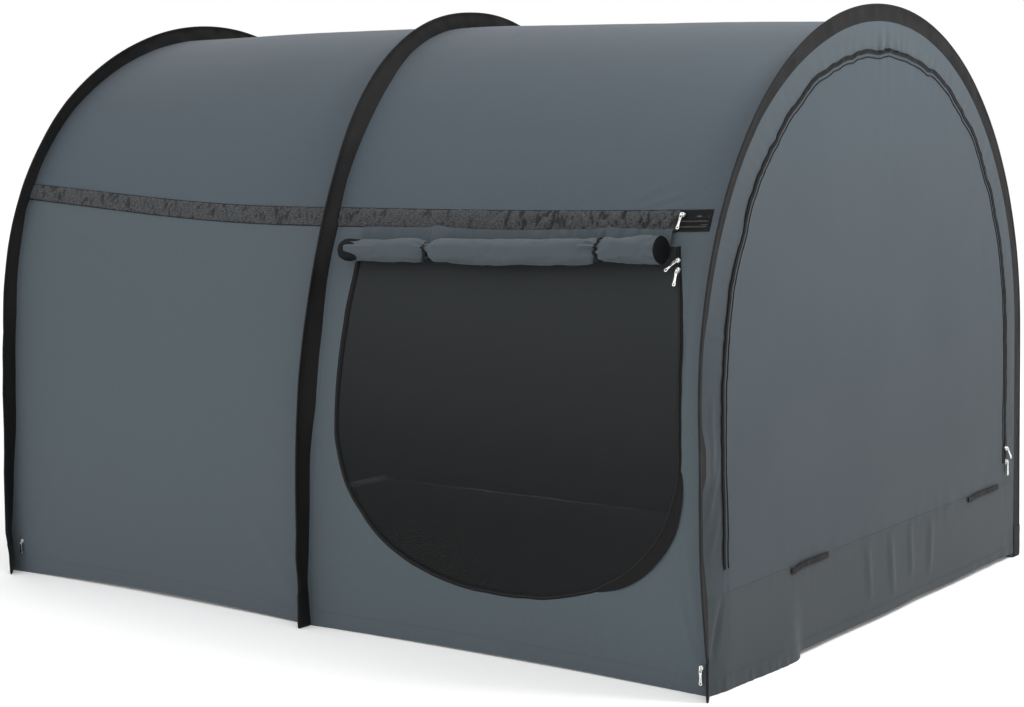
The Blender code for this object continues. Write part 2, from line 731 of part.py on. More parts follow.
def wall_frame(bay, x, z, lift, tilt=0.0):
    """A slider's frame on the left wall at this x and height."""
    place, normal = wall_surface(bay, "left", x, z, lift)
    return surface_frame(place, normal, (0, 0, 1), tilt)


def door_frame(hoop, y, z, tilt=0.0):
    """A slider's frame on the zip of the front door."""
    face = hoop.x + FABRIC / 2 + GAP + ZIP_THICKNESS
    return surface_frame((face, y, z), (1, 0, 0), (0, 0, 1), tilt)


ZIP_TOP = ZIP_SEAT + ZIP_THICKNESS


def slider_frames():
    """Each slider's name, its frame, and whether its body lies across the pull."""
    front_corner = FRONT_HOOP.x - CORNER_FRONT_INSET
    back_corner = BACK_HOOP.x + CORNER_BACK_INSET
    eave_x = FRONT_HOOP.x - EAVE_SLIDER_INSET
    eave_z = FRONT_EAVE_HEIGHT + EAVE_SLIDER_RISE
    upper_x = window_front_x(WINDOW_UPPER_Z)
    lower_x = window_front_x(WINDOW_LOWER_Z)
    return {
        "window_upper": (wall_frame("front", upper_x, WINDOW_UPPER_Z, ZIP_TOP, WINDOW_UPPER_TILT), False),
        "window_lower": (wall_frame("front", lower_x, WINDOW_LOWER_Z, ZIP_TOP), False),
        "eave": (wall_frame("front", eave_x, eave_z, GAP + FABRIC), True),
        "corner_front": (wall_frame("front", front_corner, CORNER_FRONT_Z, 0.0), False),
        "corner_back": (wall_frame("back", back_corner, CORNER_BACK_Z, 0.0), False),
        "door_upper": (door_frame(FRONT_HOOP, DOOR_HALF_WIDTH, DOOR_UPPER_Z, DOOR_UPPER_TILT), False),
        "door_lower": (door_frame(FRONT_HOOP, DOOR_HALF_WIDTH, DOOR_LOWER_Z), False),
    }


def build():
    clear_scene()
    slate = make_material("slate_polyester", SLATE, 0.75)
    slate_dark = make_material("slate_polyester_end", SLATE_DARK, 0.75)
    heather = make_material("heather_band", HEATHER, 0.85)
    black = make_material("black_webbing", BLACK, 0.8)
    mesh = make_material("window_mesh", MESH_BLACK, 0.9)
    zip_black = make_material("zip_tape", BLACK, 0.65)
    silver = make_material("zip_metal", SILVER, 0.3, 1.0)
    fibreglass = make_material("pole", FIBREGLASS, 0.4)
    for hoop in HOOPS:
        make_pole(hoop, fibreglass)
        make_sleeve(hoop, black)
        for side in ("left", "right"):
            make_pocket(hoop, side, black)
    for bay in BAYS:
        make_roof(bay, slate)
        for side in ("left", "right"):
            make_wall(side, bay, slate)
            make_eave_band(side, bay, heather)
    for side in ("left", "right"):
        make_window_mesh(side, mesh)
        make_window_zip(side, zip_black)
        make_cover(side, slate)
        for number, x in enumerate(TIE_XS, start=1):
            make_tie(side, number, x, black)
    for hoop, outward in ((BACK_HOOP, -1.0), (FRONT_HOOP, 1.0)):
        make_surround(hoop, slate_dark)
        make_door(hoop, slate)
        make_skirt(hoop, slate_dark)
        make_door_zip(hoop, outward, zip_black)
    for name, (frame, turned) in slider_frames().items():
        slider = make_slider(f"{name}_slider", frame, turned, silver)
        pull = make_pull(f"{name}_pull", frame, silver)
        bpy.context.view_layer.update()
        place = pull.matrix_world.copy()
        pull.parent = slider
        pull.matrix_parent_inverse = slider.matrix_world.inverted()
        pull.matrix_world = place


build()
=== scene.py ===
"""A pop-up tent that stands over a bed.

Three sprung hoops in black sleeves carry a slate shell in two bays. Each side has a net window with its
cover rolled up above it and a crinkled band at the eave, and each end has an arched door over a skirt.
"""

import logging
import math
from dataclasses import dataclass, field
from enum import Enum
from typing import Iterable, Sequence

import bmesh
import bpy
import numpy as np
from mathutils import Matrix, Vector


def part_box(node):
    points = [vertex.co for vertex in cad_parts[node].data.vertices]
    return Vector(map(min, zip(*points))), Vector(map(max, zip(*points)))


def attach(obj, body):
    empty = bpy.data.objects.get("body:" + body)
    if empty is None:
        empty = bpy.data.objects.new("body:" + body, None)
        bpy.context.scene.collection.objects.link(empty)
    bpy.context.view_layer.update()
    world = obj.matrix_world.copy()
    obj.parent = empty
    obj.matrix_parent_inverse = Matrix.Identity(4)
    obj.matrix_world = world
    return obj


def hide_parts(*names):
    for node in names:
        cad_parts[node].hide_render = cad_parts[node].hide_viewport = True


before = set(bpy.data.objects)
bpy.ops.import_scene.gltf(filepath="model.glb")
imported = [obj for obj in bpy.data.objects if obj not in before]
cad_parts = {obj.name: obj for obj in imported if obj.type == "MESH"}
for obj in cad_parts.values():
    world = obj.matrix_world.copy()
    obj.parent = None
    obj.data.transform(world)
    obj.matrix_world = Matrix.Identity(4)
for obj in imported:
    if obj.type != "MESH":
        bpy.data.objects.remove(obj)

Array = np.ndarray
Point = tuple[float, float]
Colour = tuple[float, float, float]
Lines = Sequence[tuple[Array, Array]]  # each line's points, and the cloth's normals there
Thing = bpy.types.Object
Material = bpy.types.Material
Socket = bpy.types.NodeSocket
Given = Socket | float | tuple[float, ...]  # what a socket takes: another node's output, or a plain value

LOG = logging.getLogger("bed_tent")
TENT = "tent"

# The solids' own trims, in metres, which place the cloth where they are.
SLEEVE_WIDTH = 0.038
SLEEVE_THICKNESS = 0.009
POCKET_THICKNESS = 0.013
POCKET_HEIGHT = 0.072
POCKET_LIP = 0.0015
EAVE_T = 0.27  # place of the eave round a hoop, where 0 is the left foot, 0.5 the top and 1 the right foot
ROOF_SAG = 0.006
RIDGE_LIFT = 0.004
WALL_SAG = 0.012
METRES_PER_T = 3.6  # cloth round a hoop for each unit of t, roughly
GAP = 0.0003
CLOTH = 0.0010  # thickness of the shell's cloth
PROFILE_POINTS = 400
HALVINGS = 30
PROBE = 0.003
FLOOR_Z = -0.00002  # a little under the tent, so no light gets in below its hems
THREAD_LIFT = 0.0002  # how far a row of stitches stands off its cloth
COIL_SPACING = 0.0024
COIL_TOOTH = (0.0016, 0.0042, 0.0014)
COIL_SLANT = 0.12
TAU = 2 * math.pi
WHITE = (1.0, 1.0, 1.0, 1.0)
ALONG = np.array([1.0, 0.0, 0.0])
UP = np.array([0.0, 0.0, 1.0])


class Side(Enum):
    """The two long sides of the tent."""

    LEFT = "left"
    RIGHT = "right"

    @property
    def sign(self) -> int:
        """The sign of y on this side."""
        return -1 if self is Side.LEFT else 1

    def round(self, t: Array) -> Array:
        """Places up the left leg, carried to this side's leg."""
        return t if self is Side.LEFT else 1 - t


class End(Enum):
    """The two ends of the tent."""

    BACK = "back"
    FRONT = "front"

    @property
    def sign(self) -> int:
        """The sign of x at this end."""
        return -1 if self is End.BACK else 1


# Numbers and shapes.


def unit(vectors: Array) -> Array:
    """Vectors scaled to length one along their last axis."""
    return vectors / np.linalg.norm(vectors, axis=-1, keepdims=True)


def ease(share: Array) -> Array:
    """A smooth step from 0 to 1, level outside."""
    share = np.clip(share, 0.0, 1.0)
    return share * share * (3 - 2 * share)


def graded(count: int, crowding: float) -> Array:
    """Places from 0 to 1 that lie closer together near both ends.

    Args:
        count: How many places.
        crowding: 0 for even steps, up to 1 for the closest ends.

    Returns:
        The places in rising order.
    """
    even = np.linspace(0.0, 1.0, count)
    return (1 - crowding) * even + crowding * ease(even)


def path_length(points: Array) -> Array:
    """The length along a line up to each of its points."""
    return np.concatenate([[0.0], np.cumsum(np.linalg.norm(np.diff(points, axis=0), axis=1))])


def signed_power(values: Array, power: float) -> Array:
    """Values raised to a power, with their signs kept."""
    return np.sign(values) * np.abs(values) ** power


def ring_angles(count: int) -> Array:
    """Even angles round a ring, in radians."""
    return np.linspace(0.0, TAU, count, endpoint=False)


def inward_of(line: Array, middle: Point) -> Array:
    """The directions square to a flat line, towards its middle."""
    tangent = unit(np.gradient(line, axis=0))
    inward = np.column_stack([tangent[:, 1], -tangent[:, 0]])
    return inward * np.sign(((np.array(middle) - line) * inward).sum(1, keepdims=True))


def stacked(*parts: Array) -> Array:
    """Parts of any shapes that fit together, side by side along a new last axis."""
    return np.stack(np.broadcast_arrays(*parts), -1)


def resample(points: Array, count: int) -> Array:
    """The same line with this many points, evenly spaced, its ends kept."""
    points = np.asarray(points, float)
    length = path_length(points)
    places = np.linspace(0.0, length[-1], count)
    return np.column_stack([np.interp(places, length, column) for column in points.T])


@dataclass(frozen=True)
class Ripple:
    """Smooth noise with a fixed seed, from -1 to 1, one wave about every two units."""

    seed: int
    size: int = 64

    def at(self, x: Array, y: Array) -> Array:
        """The noise at these places, in lattice units."""
        table = np.random.default_rng(self.seed).uniform(-1.0, 1.0, (self.size, self.size))
        x, y = np.broadcast_arrays(np.asarray(x, float), np.asarray(y, float))
        column, row = np.floor(x).astype(int), np.floor(y).astype(int)
        fx, fy = ease(x - column), ease(y - row)
        i, j = column % self.size, row % self.size
        i2, j2 = (i + 1) % self.size, (j + 1) % self.size
        low = table[i, j] * (1 - fx) + table[i2, j] * fx
        high = table[i, j2] * (1 - fx) + table[i2, j2] * fx
        return low * (1 - fy) + high * fy


@dataclass(frozen=True)
class Fold:
    """A straight crease drawn on a flat sheet, in the sheet's own metres."""

    start: Point
    end: Point
    height: float
    width: float

    def relief(self, x: Array, y: Array) -> Array:
        """How far the crease lifts the sheet at these places."""
        dx, dy = self.end[0] - self.start[0], self.end[1] - self.start[1]
        length = math.hypot(dx, dy)
        along = ((x - self.start[0]) * dx + (y - self.start[1]) * dy) / length**2
        across = ((x - self.start[0]) * dy - (y - self.start[1]) * dx) / length
        taper = np.sin(np.pi * np.clip(along, 0.0, 1.0)) ** 0.6
        return self.height * taper * np.exp(-((across / self.width) ** 2))


@dataclass(frozen=True)
class Pucker:
    """Small gathers that a seam pulls into a sheet, which die away from it."""

    seed: int
    pitch: float = 0.022
    reach: float = 0.030
    height: float = 0.0012

    def relief(self, along: Array, away: Array) -> Array:
        """How far the gathers lift the sheet, at this place along the seam and distance from it."""
        away = np.maximum(away, 0.0)
        drift = 0.35 * Ripple(self.seed + 1).at(along / 0.11, away / 0.09)
        waves = Ripple(self.seed).at(along / self.pitch * 2 + drift, away / (2.2 * self.reach))
        gain = 0.55 + 0.45 * Ripple(self.seed + 2).at(along / 0.16, 0.0)
        return self.height * gain * waves * np.exp(-away / self.reach)


@dataclass
class Relief:
    """Everything that lifts a sheet off its smooth shape: slow swells and drawn folds."""

    seed: int
    swell: float = 0.0012
    swell_size: Point = (0.22, 0.16)
    crumple: float = 0.00025
    folds: tuple[Fold, ...] = ()

    def at(self, x: Array, y: Array) -> Array:
        """The lift at these places of the sheet, in metres."""
        lift = self.swell * Ripple(self.seed).at(x / self.swell_size[0], y / self.swell_size[1])
        lift = lift + self.crumple * Ripple(self.seed + 7).at(x / 0.035, y / 0.045)
        for fold in self.folds:
            lift = lift + fold.relief(x, y)
        return lift


# Meshes.


def grid_quads(rows: int, columns: int) -> Array:
    """The faces of a grid of points kept row by row."""
    corner = (np.arange(rows - 1)[:, None] * columns + np.arange(columns - 1)[None, :]).ravel()
    return np.column_stack([corner, corner + 1, corner + columns + 1, corner + columns])


def tube_quads(rows: int, columns: int) -> Array:
    """The faces of a grid whose last column joins its first."""
    start = np.arange(rows - 1)[:, None] * columns
    this, after = np.arange(columns), (np.arange(columns) + 1) % columns
    faces = [start + this, start + after, start + columns + after, start + columns + this]
    return stacked(*faces).reshape(-1, 4)


def mesh_object(name: str, points: Array, faces: Iterable, uv: Array | None = None) -> Thing:
    """A mesh object at the origin.

    Args:
        name: The piece's name.
        points: Its corners, in metres.
        faces: Corner numbers of each face, anticlockwise from outside.
        uv: A place on the flat cloth for each corner, in metres.

    Returns:
        The new object, linked to the scene.
    """
    mesh = bpy.data.meshes.new(name)
    sizes = np.array([len(face) for face in faces], np.int32)
    corners = np.concatenate(faces)
    mesh.vertices.add(len(points))
    mesh.vertices.foreach_set("co", np.asarray(points, np.float32).ravel())
    mesh.loops.add(len(corners))
    mesh.loops.foreach_set("vertex_index", corners.astype(np.int32))
    mesh.polygons.add(len(sizes))
    mesh.polygons.foreach_set("loop_start", np.concatenate([[0], np.cumsum(sizes)[:-1]]).astype(np.int32))
    mesh.update(calc_edges=True)
    if uv is not None:
        layer = mesh.uv_layers.new(name="cloth")
        layer.data.foreach_set("uv", np.asarray(uv, np.float32)[corners].ravel())
    mesh.shade_smooth()
    mesh.set_sharp_from_angle(angle=math.radians(50))
    mesh.validate()
    return linked(name, mesh)


def linked(name: str, data: bpy.types.ID) -> Thing:
    """A new object in the scene."""
    made = bpy.data.objects.new(name, data)
    bpy.context.scene.collection.objects.link(made)
    return made


def skin(name: str, outer: Array, inner: Array, uv: Array, quads: Array | None = None) -> Thing:
    """A closed skin between two copies of one face pattern.

    Args:
        name: The piece's name.
        outer: Points of the outer face, in a grid or a list.
        inner: Points of the inner face, in the same order.
        uv: A place on the flat cloth for each point.
        quads: The outer face's quads, or None for those of the grid.

    Returns:
        The new object.
    """
    quads = grid_quads(*outer.shape[:2]) if quads is None else quads
    outer, inner, uv = outer.reshape(-1, 3), inner.reshape(-1, 3), uv.reshape(-1, 2)
    a, b, c, d = (outer[quads[:, k]] for k in range(4))
    facing = (np.cross(c - a, d - b) * (outer - inner)[quads[:, 0]]).sum()
    quads = quads if facing > 0 else quads[:, ::-1]
    used = np.unique(quads)
    renumber = np.zeros(len(outer), np.int64)
    renumber[used] = np.arange(len(used))
    outer, inner, uv, quads = outer[used], inner[used], uv[used], renumber[quads]
    count = len(outer)
    ends = np.stack([quads, np.roll(quads, -1, axis=1)], -1).reshape(-1, 2)
    there, back = ends[:, 0] * count + ends[:, 1], ends[:, 1] * count + ends[:, 0]
    rim = ends[~np.isin(there, back)]
    walls = np.column_stack([rim[:, 1], rim[:, 0], rim[:, 0] + count, rim[:, 1] + count])
    faces = np.concatenate([quads, quads[:, ::-1] + count, walls])
    return mesh_object(name, np.concatenate([outer, inner]), faces, np.concatenate([uv, uv]))


def swept(name: str, stations: Array, uv_along: Array) -> Thing:
    """A closed bar from rings of points.

    Args:
        name: The piece's name.
        stations: Points as (station, place round the ring, 3), anticlockwise seen from the far end.
        uv_along: Length along the bar at each station.

    Returns:
        The new object, its normals outwards.
    """
    rows, count = stations.shape[:2]
    round_length = np.linalg.norm(np.roll(stations, -1, axis=1) - stations, axis=2).mean(axis=0)
    across = np.concatenate([[0.0], np.cumsum(round_length)[:-1]])
    uv = stacked(uv_along[:, None], across[None, :]).reshape(-1, 2)
    faces = [*tube_quads(rows, count), range(count)[::-1], range((rows - 1) * count, rows * count)]
    made = mesh_object(name, stations.reshape(-1, 3), faces, uv)
    face_outwards(made)
    return made


def face_outwards(target: Thing) -> None:
    """Turns every face of a closed mesh outwards."""
    shape = bmesh.new()
    shape.from_mesh(target.data)
    bmesh.ops.recalc_face_normals(shape, faces=shape.faces)
    shape.to_mesh(target.data)
    shape.free()


def bevelled(target: Thing, width: float) -> Thing:
    """The piece with its edges rounded, as a plain mesh."""
    modifier = target.modifiers.new("rounded", "BEVEL")
    modifier.width = width
    modifier.segments = 2
    modifier.limit_method = "ANGLE"
    modifier.angle_limit = math.radians(35)
    return baked(target)


def baked(target: Thing) -> Thing:
    """The object with its modifiers taken into its mesh."""
    graph = bpy.context.evaluated_depsgraph_get()
    mesh = bpy.data.meshes.new_from_object(target.evaluated_get(graph), depsgraph=graph)
    mesh.name = target.name
    target.modifiers.clear()
    target.data = mesh
    return target


def joined(name: str, parts: Sequence[Thing]) -> Thing:
    """Several meshes as one object."""
    shape = bmesh.new()
    for part in parts:
        shape.from_mesh(part.data)
    mesh = bpy.data.meshes.new(name)
    shape.to_mesh(mesh)
    shape.free()
    for part in parts:
        bpy.data.objects.remove(part, do_unlink=True)
    mesh.shade_smooth()
    mesh.set_sharp_from_angle(angle=math.radians(40))
    return linked(name, mesh)


def finish_piece(
    piece: Thing,
    material: Material,
    body: str = TENT,
    stands_for: Sequence[str] = (),
) -> Thing:
    """Gives a piece its material and body, and hides the solids that it replaces.

    Args:
        piece: The finished object.
        material: Its only material.
        body: The body that it rides on.
        stands_for: The solids that it replaces.

    Returns:
        The same object.
    """
    piece.data.materials.clear()
    piece.data.materials.append(material)
    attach(piece, body)
    if stands_for:
        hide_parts(*stands_for)
    LOG.info("%s: %d faces", piece.name, len(piece.data.polygons))
    return piece


# Finishes.


class NodeSet:
    """The nodes of one material, ending in its shader."""

    def __init__(self, name: str) -> None:
        """Starts a material with this name."""
        self.material = bpy.data.materials.new(name)
        self.material.use_nodes = True
        self.tree = self.material.node_tree
        self.shader = self.tree.nodes["Principled BSDF"]

    def add(self, kind: str, inputs: dict | None = None, **settings) -> bpy.types.Node:
        """Adds a node.

        Args:
            kind: The node type's short name, without its ShaderNode.
            inputs: A value or a socket to link for each named or numbered input.
            **settings: The node's own settings.

        Returns:
            The node.
        """
        node = self.tree.nodes.new("ShaderNode" + kind)
        for key, value in settings.items():
            setattr(node, key, value)
        for key, value in (inputs or {}).items():
            self.feed(node.inputs[key], value)
        return node

    def feed(self, socket: Socket, value: Given) -> None:
        """Sets a socket, or links another node's output to it."""
        if isinstance(value, Socket):
            self.tree.links.new(value, socket)
        else:
            socket.default_value = value

    def finish(self, colour: Socket, roughness: Socket, normal: Socket, **constants) -> Material:
        """Links the shader's main inputs and sets plain ones, whose names have _ for a space.

        Args:
            colour: The base colour.
            roughness: The roughness.
            normal: The bumped normal.
            **constants: Plain values of other inputs.

        Returns:
            The finished material.
        """
        for key, value in (("Base Color", colour), ("Roughness", roughness), ("Normal", normal)):
            self.feed(self.shader.inputs[key], value)
        for key, value in constants.items():
            self.shader.inputs[key.replace("_", " ")].default_value = value
        return self.material

    def cloth_place(self, pitch: Point, turn: float = 0.0) -> Socket:
        """The place on the flat cloth, in metres over the pitch."""
        place = self.add("TexCoord").outputs["UV"]
        mapping = self.add("Mapping", {"Vector": place, "Scale": (1 / pitch[0], 1 / pitch[1], 1.0)})
        mapping.inputs["Rotation"].default_value = (0.0, 0.0, turn)
        return mapping.outputs["Vector"]

    def object_place(self, pitch: float = 1.0) -> Socket:
        """The place in the tent's own space, in metres over the pitch."""
        place = self.add("TexCoord").outputs["Object"]
        mapping = self.add("Mapping", {"Vector": place, "Scale": (1 / pitch,) * 3})
        return mapping.outputs["Vector"]

    def noise(self, place: Socket, detail: float = 2.0) -> Socket:
        """Noise of about one wave a unit, from 0 to 1."""
        return self.add("TexNoise", {"Vector": place, "Scale": 1.0, "Detail": detail}).outputs["Fac"]

    def threads(self, place: Socket, direction: str) -> Socket:
        """Ribs of one a unit across X or Y, from 0 to 1."""
        wave = self.add("TexWave", {"Vector": place, "Scale": 0.05 * TAU})
        wave.bands_direction = direction
        return wave.outputs["Fac"]

    def math(self, operation: str, first: Given, second: Given = 0.0) -> Socket:
        """One sum of two values or sockets."""
        return self.add("Math", {0: first, 1: second}, operation=operation).outputs[0]

    def span(self, value: Socket, low: float, high: float, start: float = 0.0, end: float = 1.0) -> Socket:
        """The value's range from start to end, spread from low to high."""
        inputs = {"Value": value, "From Min": start, "From Max": end, "To Min": low, "To Max": high}
        return self.add("MapRange", inputs).outputs["Result"]

    def mix(self, share: Socket, first: Given, second: Given) -> Socket:
        """A colour between two, by a share."""
        node = self.add("Mix", data_type="RGBA")
        self.feed(node.inputs["Factor"], share)
        self.feed(node.inputs[6], first)
        self.feed(node.inputs[7], second)
        return node.outputs[2]

    def tone(self, colour: Colour, gain: float) -> tuple[float, ...]:
        """A colour made lighter or darker."""
        return (*(channel * gain for channel in colour), 1.0)

    def shades(self, share: Socket, colour: Colour, dark: float, light: float) -> Socket:
        """A colour between a darker and a lighter tone of itself, by a share."""
        return self.mix(share, self.tone(colour, dark), self.tone(colour, light))

    def painted_light_up(self, under: Socket, colour: Colour, gain: float, low: float, high: float) -> Socket:
        """A colour that goes over to a lighter tone between two heights of the tent: painted light from
        above.
        """
        height = self.add("SeparateXYZ", {"Vector": self.object_place()}).outputs["Z"]
        return self.mix(self.span(height, 0.0, 1.0, low, high), under, self.tone(colour, gain))

    def bump(
        self, height: Socket, depth: float, strength: float = 1.0, under: Socket | None = None
    ) -> Socket:
        """A bump of this depth in metres, over another one if given."""
        node = self.add("Bump", {"Height": height, "Distance": depth, "Strength": strength})
        if under is not None:
            self.feed(node.inputs["Normal"], under)
        return node.outputs["Normal"]


@dataclass(frozen=True)
class Polyester:
    """Plain woven cloth with a fine thread, faint streaks and a dull sheen, and, where asked, painted light
    that makes it lighter high up.
    """

    name: str
    colour: Colour
    thread: float = 0.0008
    streak: float = 0.10
    roughness: float = 0.72
    painted_top_light_gain: float = 1.0  # painted light: how much lighter the cloth is high up

    def build(self) -> Material:
        """The cloth's material."""
        nodes = NodeSet(self.name)
        place = nodes.cloth_place((self.thread, self.thread))
        warp, weft = nodes.threads(place, "X"), nodes.threads(place, "Y")
        weave = nodes.math("MULTIPLY", warp, weft)
        slub = nodes.noise(nodes.cloth_place((0.012, 0.0012)), 3.0)
        slub_up = nodes.noise(nodes.cloth_place((0.0012, 0.014)), 3.0)
        streaks = nodes.math("MULTIPLY", nodes.math("ADD", slub, slub_up), 0.5)
        patches = nodes.noise(nodes.object_place(0.35), 3.0)
        span = nodes.span(streaks, 0.0, 1.0, 0.35, 0.65)
        threads = nodes.shades(span, self.colour, 1 - self.streak, 1 + self.streak)
        worn = nodes.mix(nodes.span(patches, 0.0, 0.12, 0.35, 0.7), threads, nodes.tone(self.colour, 1.35))
        cloth = nodes.mix(nodes.span(weave, 0.35, 0.0), worn, nodes.tone(self.colour, 0.55))
        # Painted light: the cloth goes lighter higher up the tent.
        if self.painted_top_light_gain > 1.0:
            cloth = nodes.painted_light_up(cloth, self.colour, self.painted_top_light_gain, 0.35, 1.32)
        gloss = nodes.span(patches, self.roughness - 0.05, self.roughness + 0.06)
        normal = nodes.bump(streaks, 0.0003, 0.25, nodes.bump(weave, 0.00012, 0.5))
        sheen = {"Sheen_Weight": 0.08, "Sheen_Roughness": 0.45, "Specular_IOR_Level": 0.30}
        return nodes.finish(cloth, gloss, normal, **sheen)


@dataclass(frozen=True)
class Heather:
    """Crinkled cloth of dark and light fibres mixed, darkened in its creases by painted shade."""

    name: str
    dark: Colour
    light: Colour

    CREASE_SHADE = "crease"  # the attribute that is 1 at the bottom of a crease and 0 on its tops, which drives painted shade

    def build(self) -> Material:
        """The crinkled band's material."""
        nodes = NodeSet(self.name)
        fibres = nodes.noise(nodes.cloth_place((0.010, 0.0022)), 4.0)
        flecks = nodes.noise(nodes.cloth_place((0.004, 0.005)), 3.0)
        mixed = nodes.math("ADD", nodes.math("MULTIPLY", fibres, 0.6), nodes.math("MULTIPLY", flecks, 0.4))
        span = nodes.span(mixed, 0.0, 1.0, 0.38, 0.62)
        colour = nodes.mix(span, nodes.tone(self.dark, 1.0), nodes.tone(self.light, 1.0))
        crease = nodes.add("Attribute", attribute_name=self.CREASE_SHADE).outputs["Fac"]
        # Painted shade: darker towards the bottom of each crease.
        shaded = nodes.mix(nodes.span(crease, 0.0, 0.80), colour, nodes.tone(self.dark, 0.45))
        crinkle = nodes.bump(nodes.noise(nodes.cloth_place((0.007, 0.012)), 2.0), 0.0012, 0.55)
        normal = nodes.bump(flecks, 0.0003, 0.4, crinkle)
        sheen = {"Sheen_Weight": 0.05, "Sheen_Roughness": 0.6, "Specular_IOR_Level": 0.20}
        return nodes.finish(shaded, nodes.span(flecks, 0.78, 0.92), normal, **sheen)


@dataclass(frozen=True)
class Ribbed:
    """Ribbed black cloth or tape, such as a sleeve, a pocket, a tie or a zip's tape."""

    name: str
    colour: Colour
    rib: float = 0.0012
    roughness: float = 0.62
    sheen: float = 0.03
    gloss: float = 0.16

    def build(self) -> Material:
        """The tape's material."""
        nodes = NodeSet(self.name)
        ribs = nodes.threads(nodes.cloth_place((self.rib, self.rib)), "X")
        cross = nodes.threads(nodes.cloth_place((self.rib * 0.6, self.rib * 0.6)), "Y")
        cloth = nodes.math("MULTIPLY", ribs, cross)
        rubbed = nodes.noise(nodes.object_place(0.05), 3.0)
        colour = nodes.shades(cloth, self.colour, 0.6, 1.25)
        faded = nodes.mix(nodes.span(rubbed, 0.0, 0.35, 0.45, 0.75), colour, nodes.tone(self.colour, 1.5))
        rough = nodes.span(rubbed, self.roughness - 0.08, self.roughness + 0.1)
        sheen = {"Sheen_Weight": self.sheen, "Sheen_Roughness": 0.4, "Specular_IOR_Level": self.gloss}
        return nodes.finish(faded, rough, nodes.bump(cloth, 0.0002, 0.5), **sheen)


@dataclass(frozen=True)
class Net:
    """Fine black netting that lets some light through its holes."""

    name: str
    colour: Colour
    pitch: float = 0.0016
    open_share: float = 0.20
    painted_top_light_gain: float = 1.0  # how much lighter it is at the window's top, where the light falls through

    def build(self) -> Material:
        """The net's material: threads, with nothing between them."""
        nodes = NodeSet(self.name)
        place = nodes.cloth_place((self.pitch, self.pitch), math.radians(45))
        hole = nodes.math("MULTIPLY", nodes.threads(place, "X"), nodes.threads(place, "Y"))
        limit = 1 - self.open_share
        solid = nodes.span(hole, 1.0, 0.0, limit - 0.25, limit - 0.05)
        grey = nodes.noise(nodes.object_place(0.5), 2.0)
        thread = nodes.noise(nodes.cloth_place((0.0007, 0.0007)), 1.0)
        shade = nodes.math("MULTIPLY", nodes.math("ADD", grey, thread), 0.5)
        colour = nodes.shades(shade, self.colour, 0.7, 1.3)
        # Painted light: the net goes lighter towards the window's top.
        lit = nodes.painted_light_up(colour, self.colour, self.painted_top_light_gain, 0.30, 0.86)
        nodes.feed(nodes.shader.inputs["Alpha"], solid)
        normal = nodes.bump(hole, 0.0003, 0.3)
        return nodes.finish(lit, nodes.span(grey, 0.6, 0.75), normal, Specular_IOR_Level=0.12)


@dataclass(frozen=True)
class Hard:
    """Metal, nylon, thread or fibreglass: a base colour with fine scratches and rubbed places."""

    name: str
    colour: Colour
    roughness: float
    metallic: float = 0.0
    scratch: Point = (0.0006, 0.006)
    depth: float = 0.00005

    def build(self) -> Material:
        """The hard finish's material."""
        nodes = NodeSet(self.name)
        place = nodes.add("TexCoord").outputs["Object"]
        fine = (1 / self.scratch[0], 1 / self.scratch[0], 1 / self.scratch[1])
        stretched = nodes.add("Mapping", {"Vector": place, "Scale": fine}).outputs["Vector"]
        lines = nodes.noise(stretched, 3.0)
        rubbed = nodes.noise(nodes.object_place(0.004), 2.0)
        mixed = nodes.math("MULTIPLY", nodes.math("ADD", lines, rubbed), 0.5)
        colour = nodes.shades(mixed, self.colour, 0.75, 1.2)
        gloss = nodes.span(mixed, self.roughness * 0.8, self.roughness * 1.25, 0.3, 0.7)
        return nodes.finish(colour, gloss, nodes.bump(lines, self.depth, 0.4), Metallic=self.metallic)


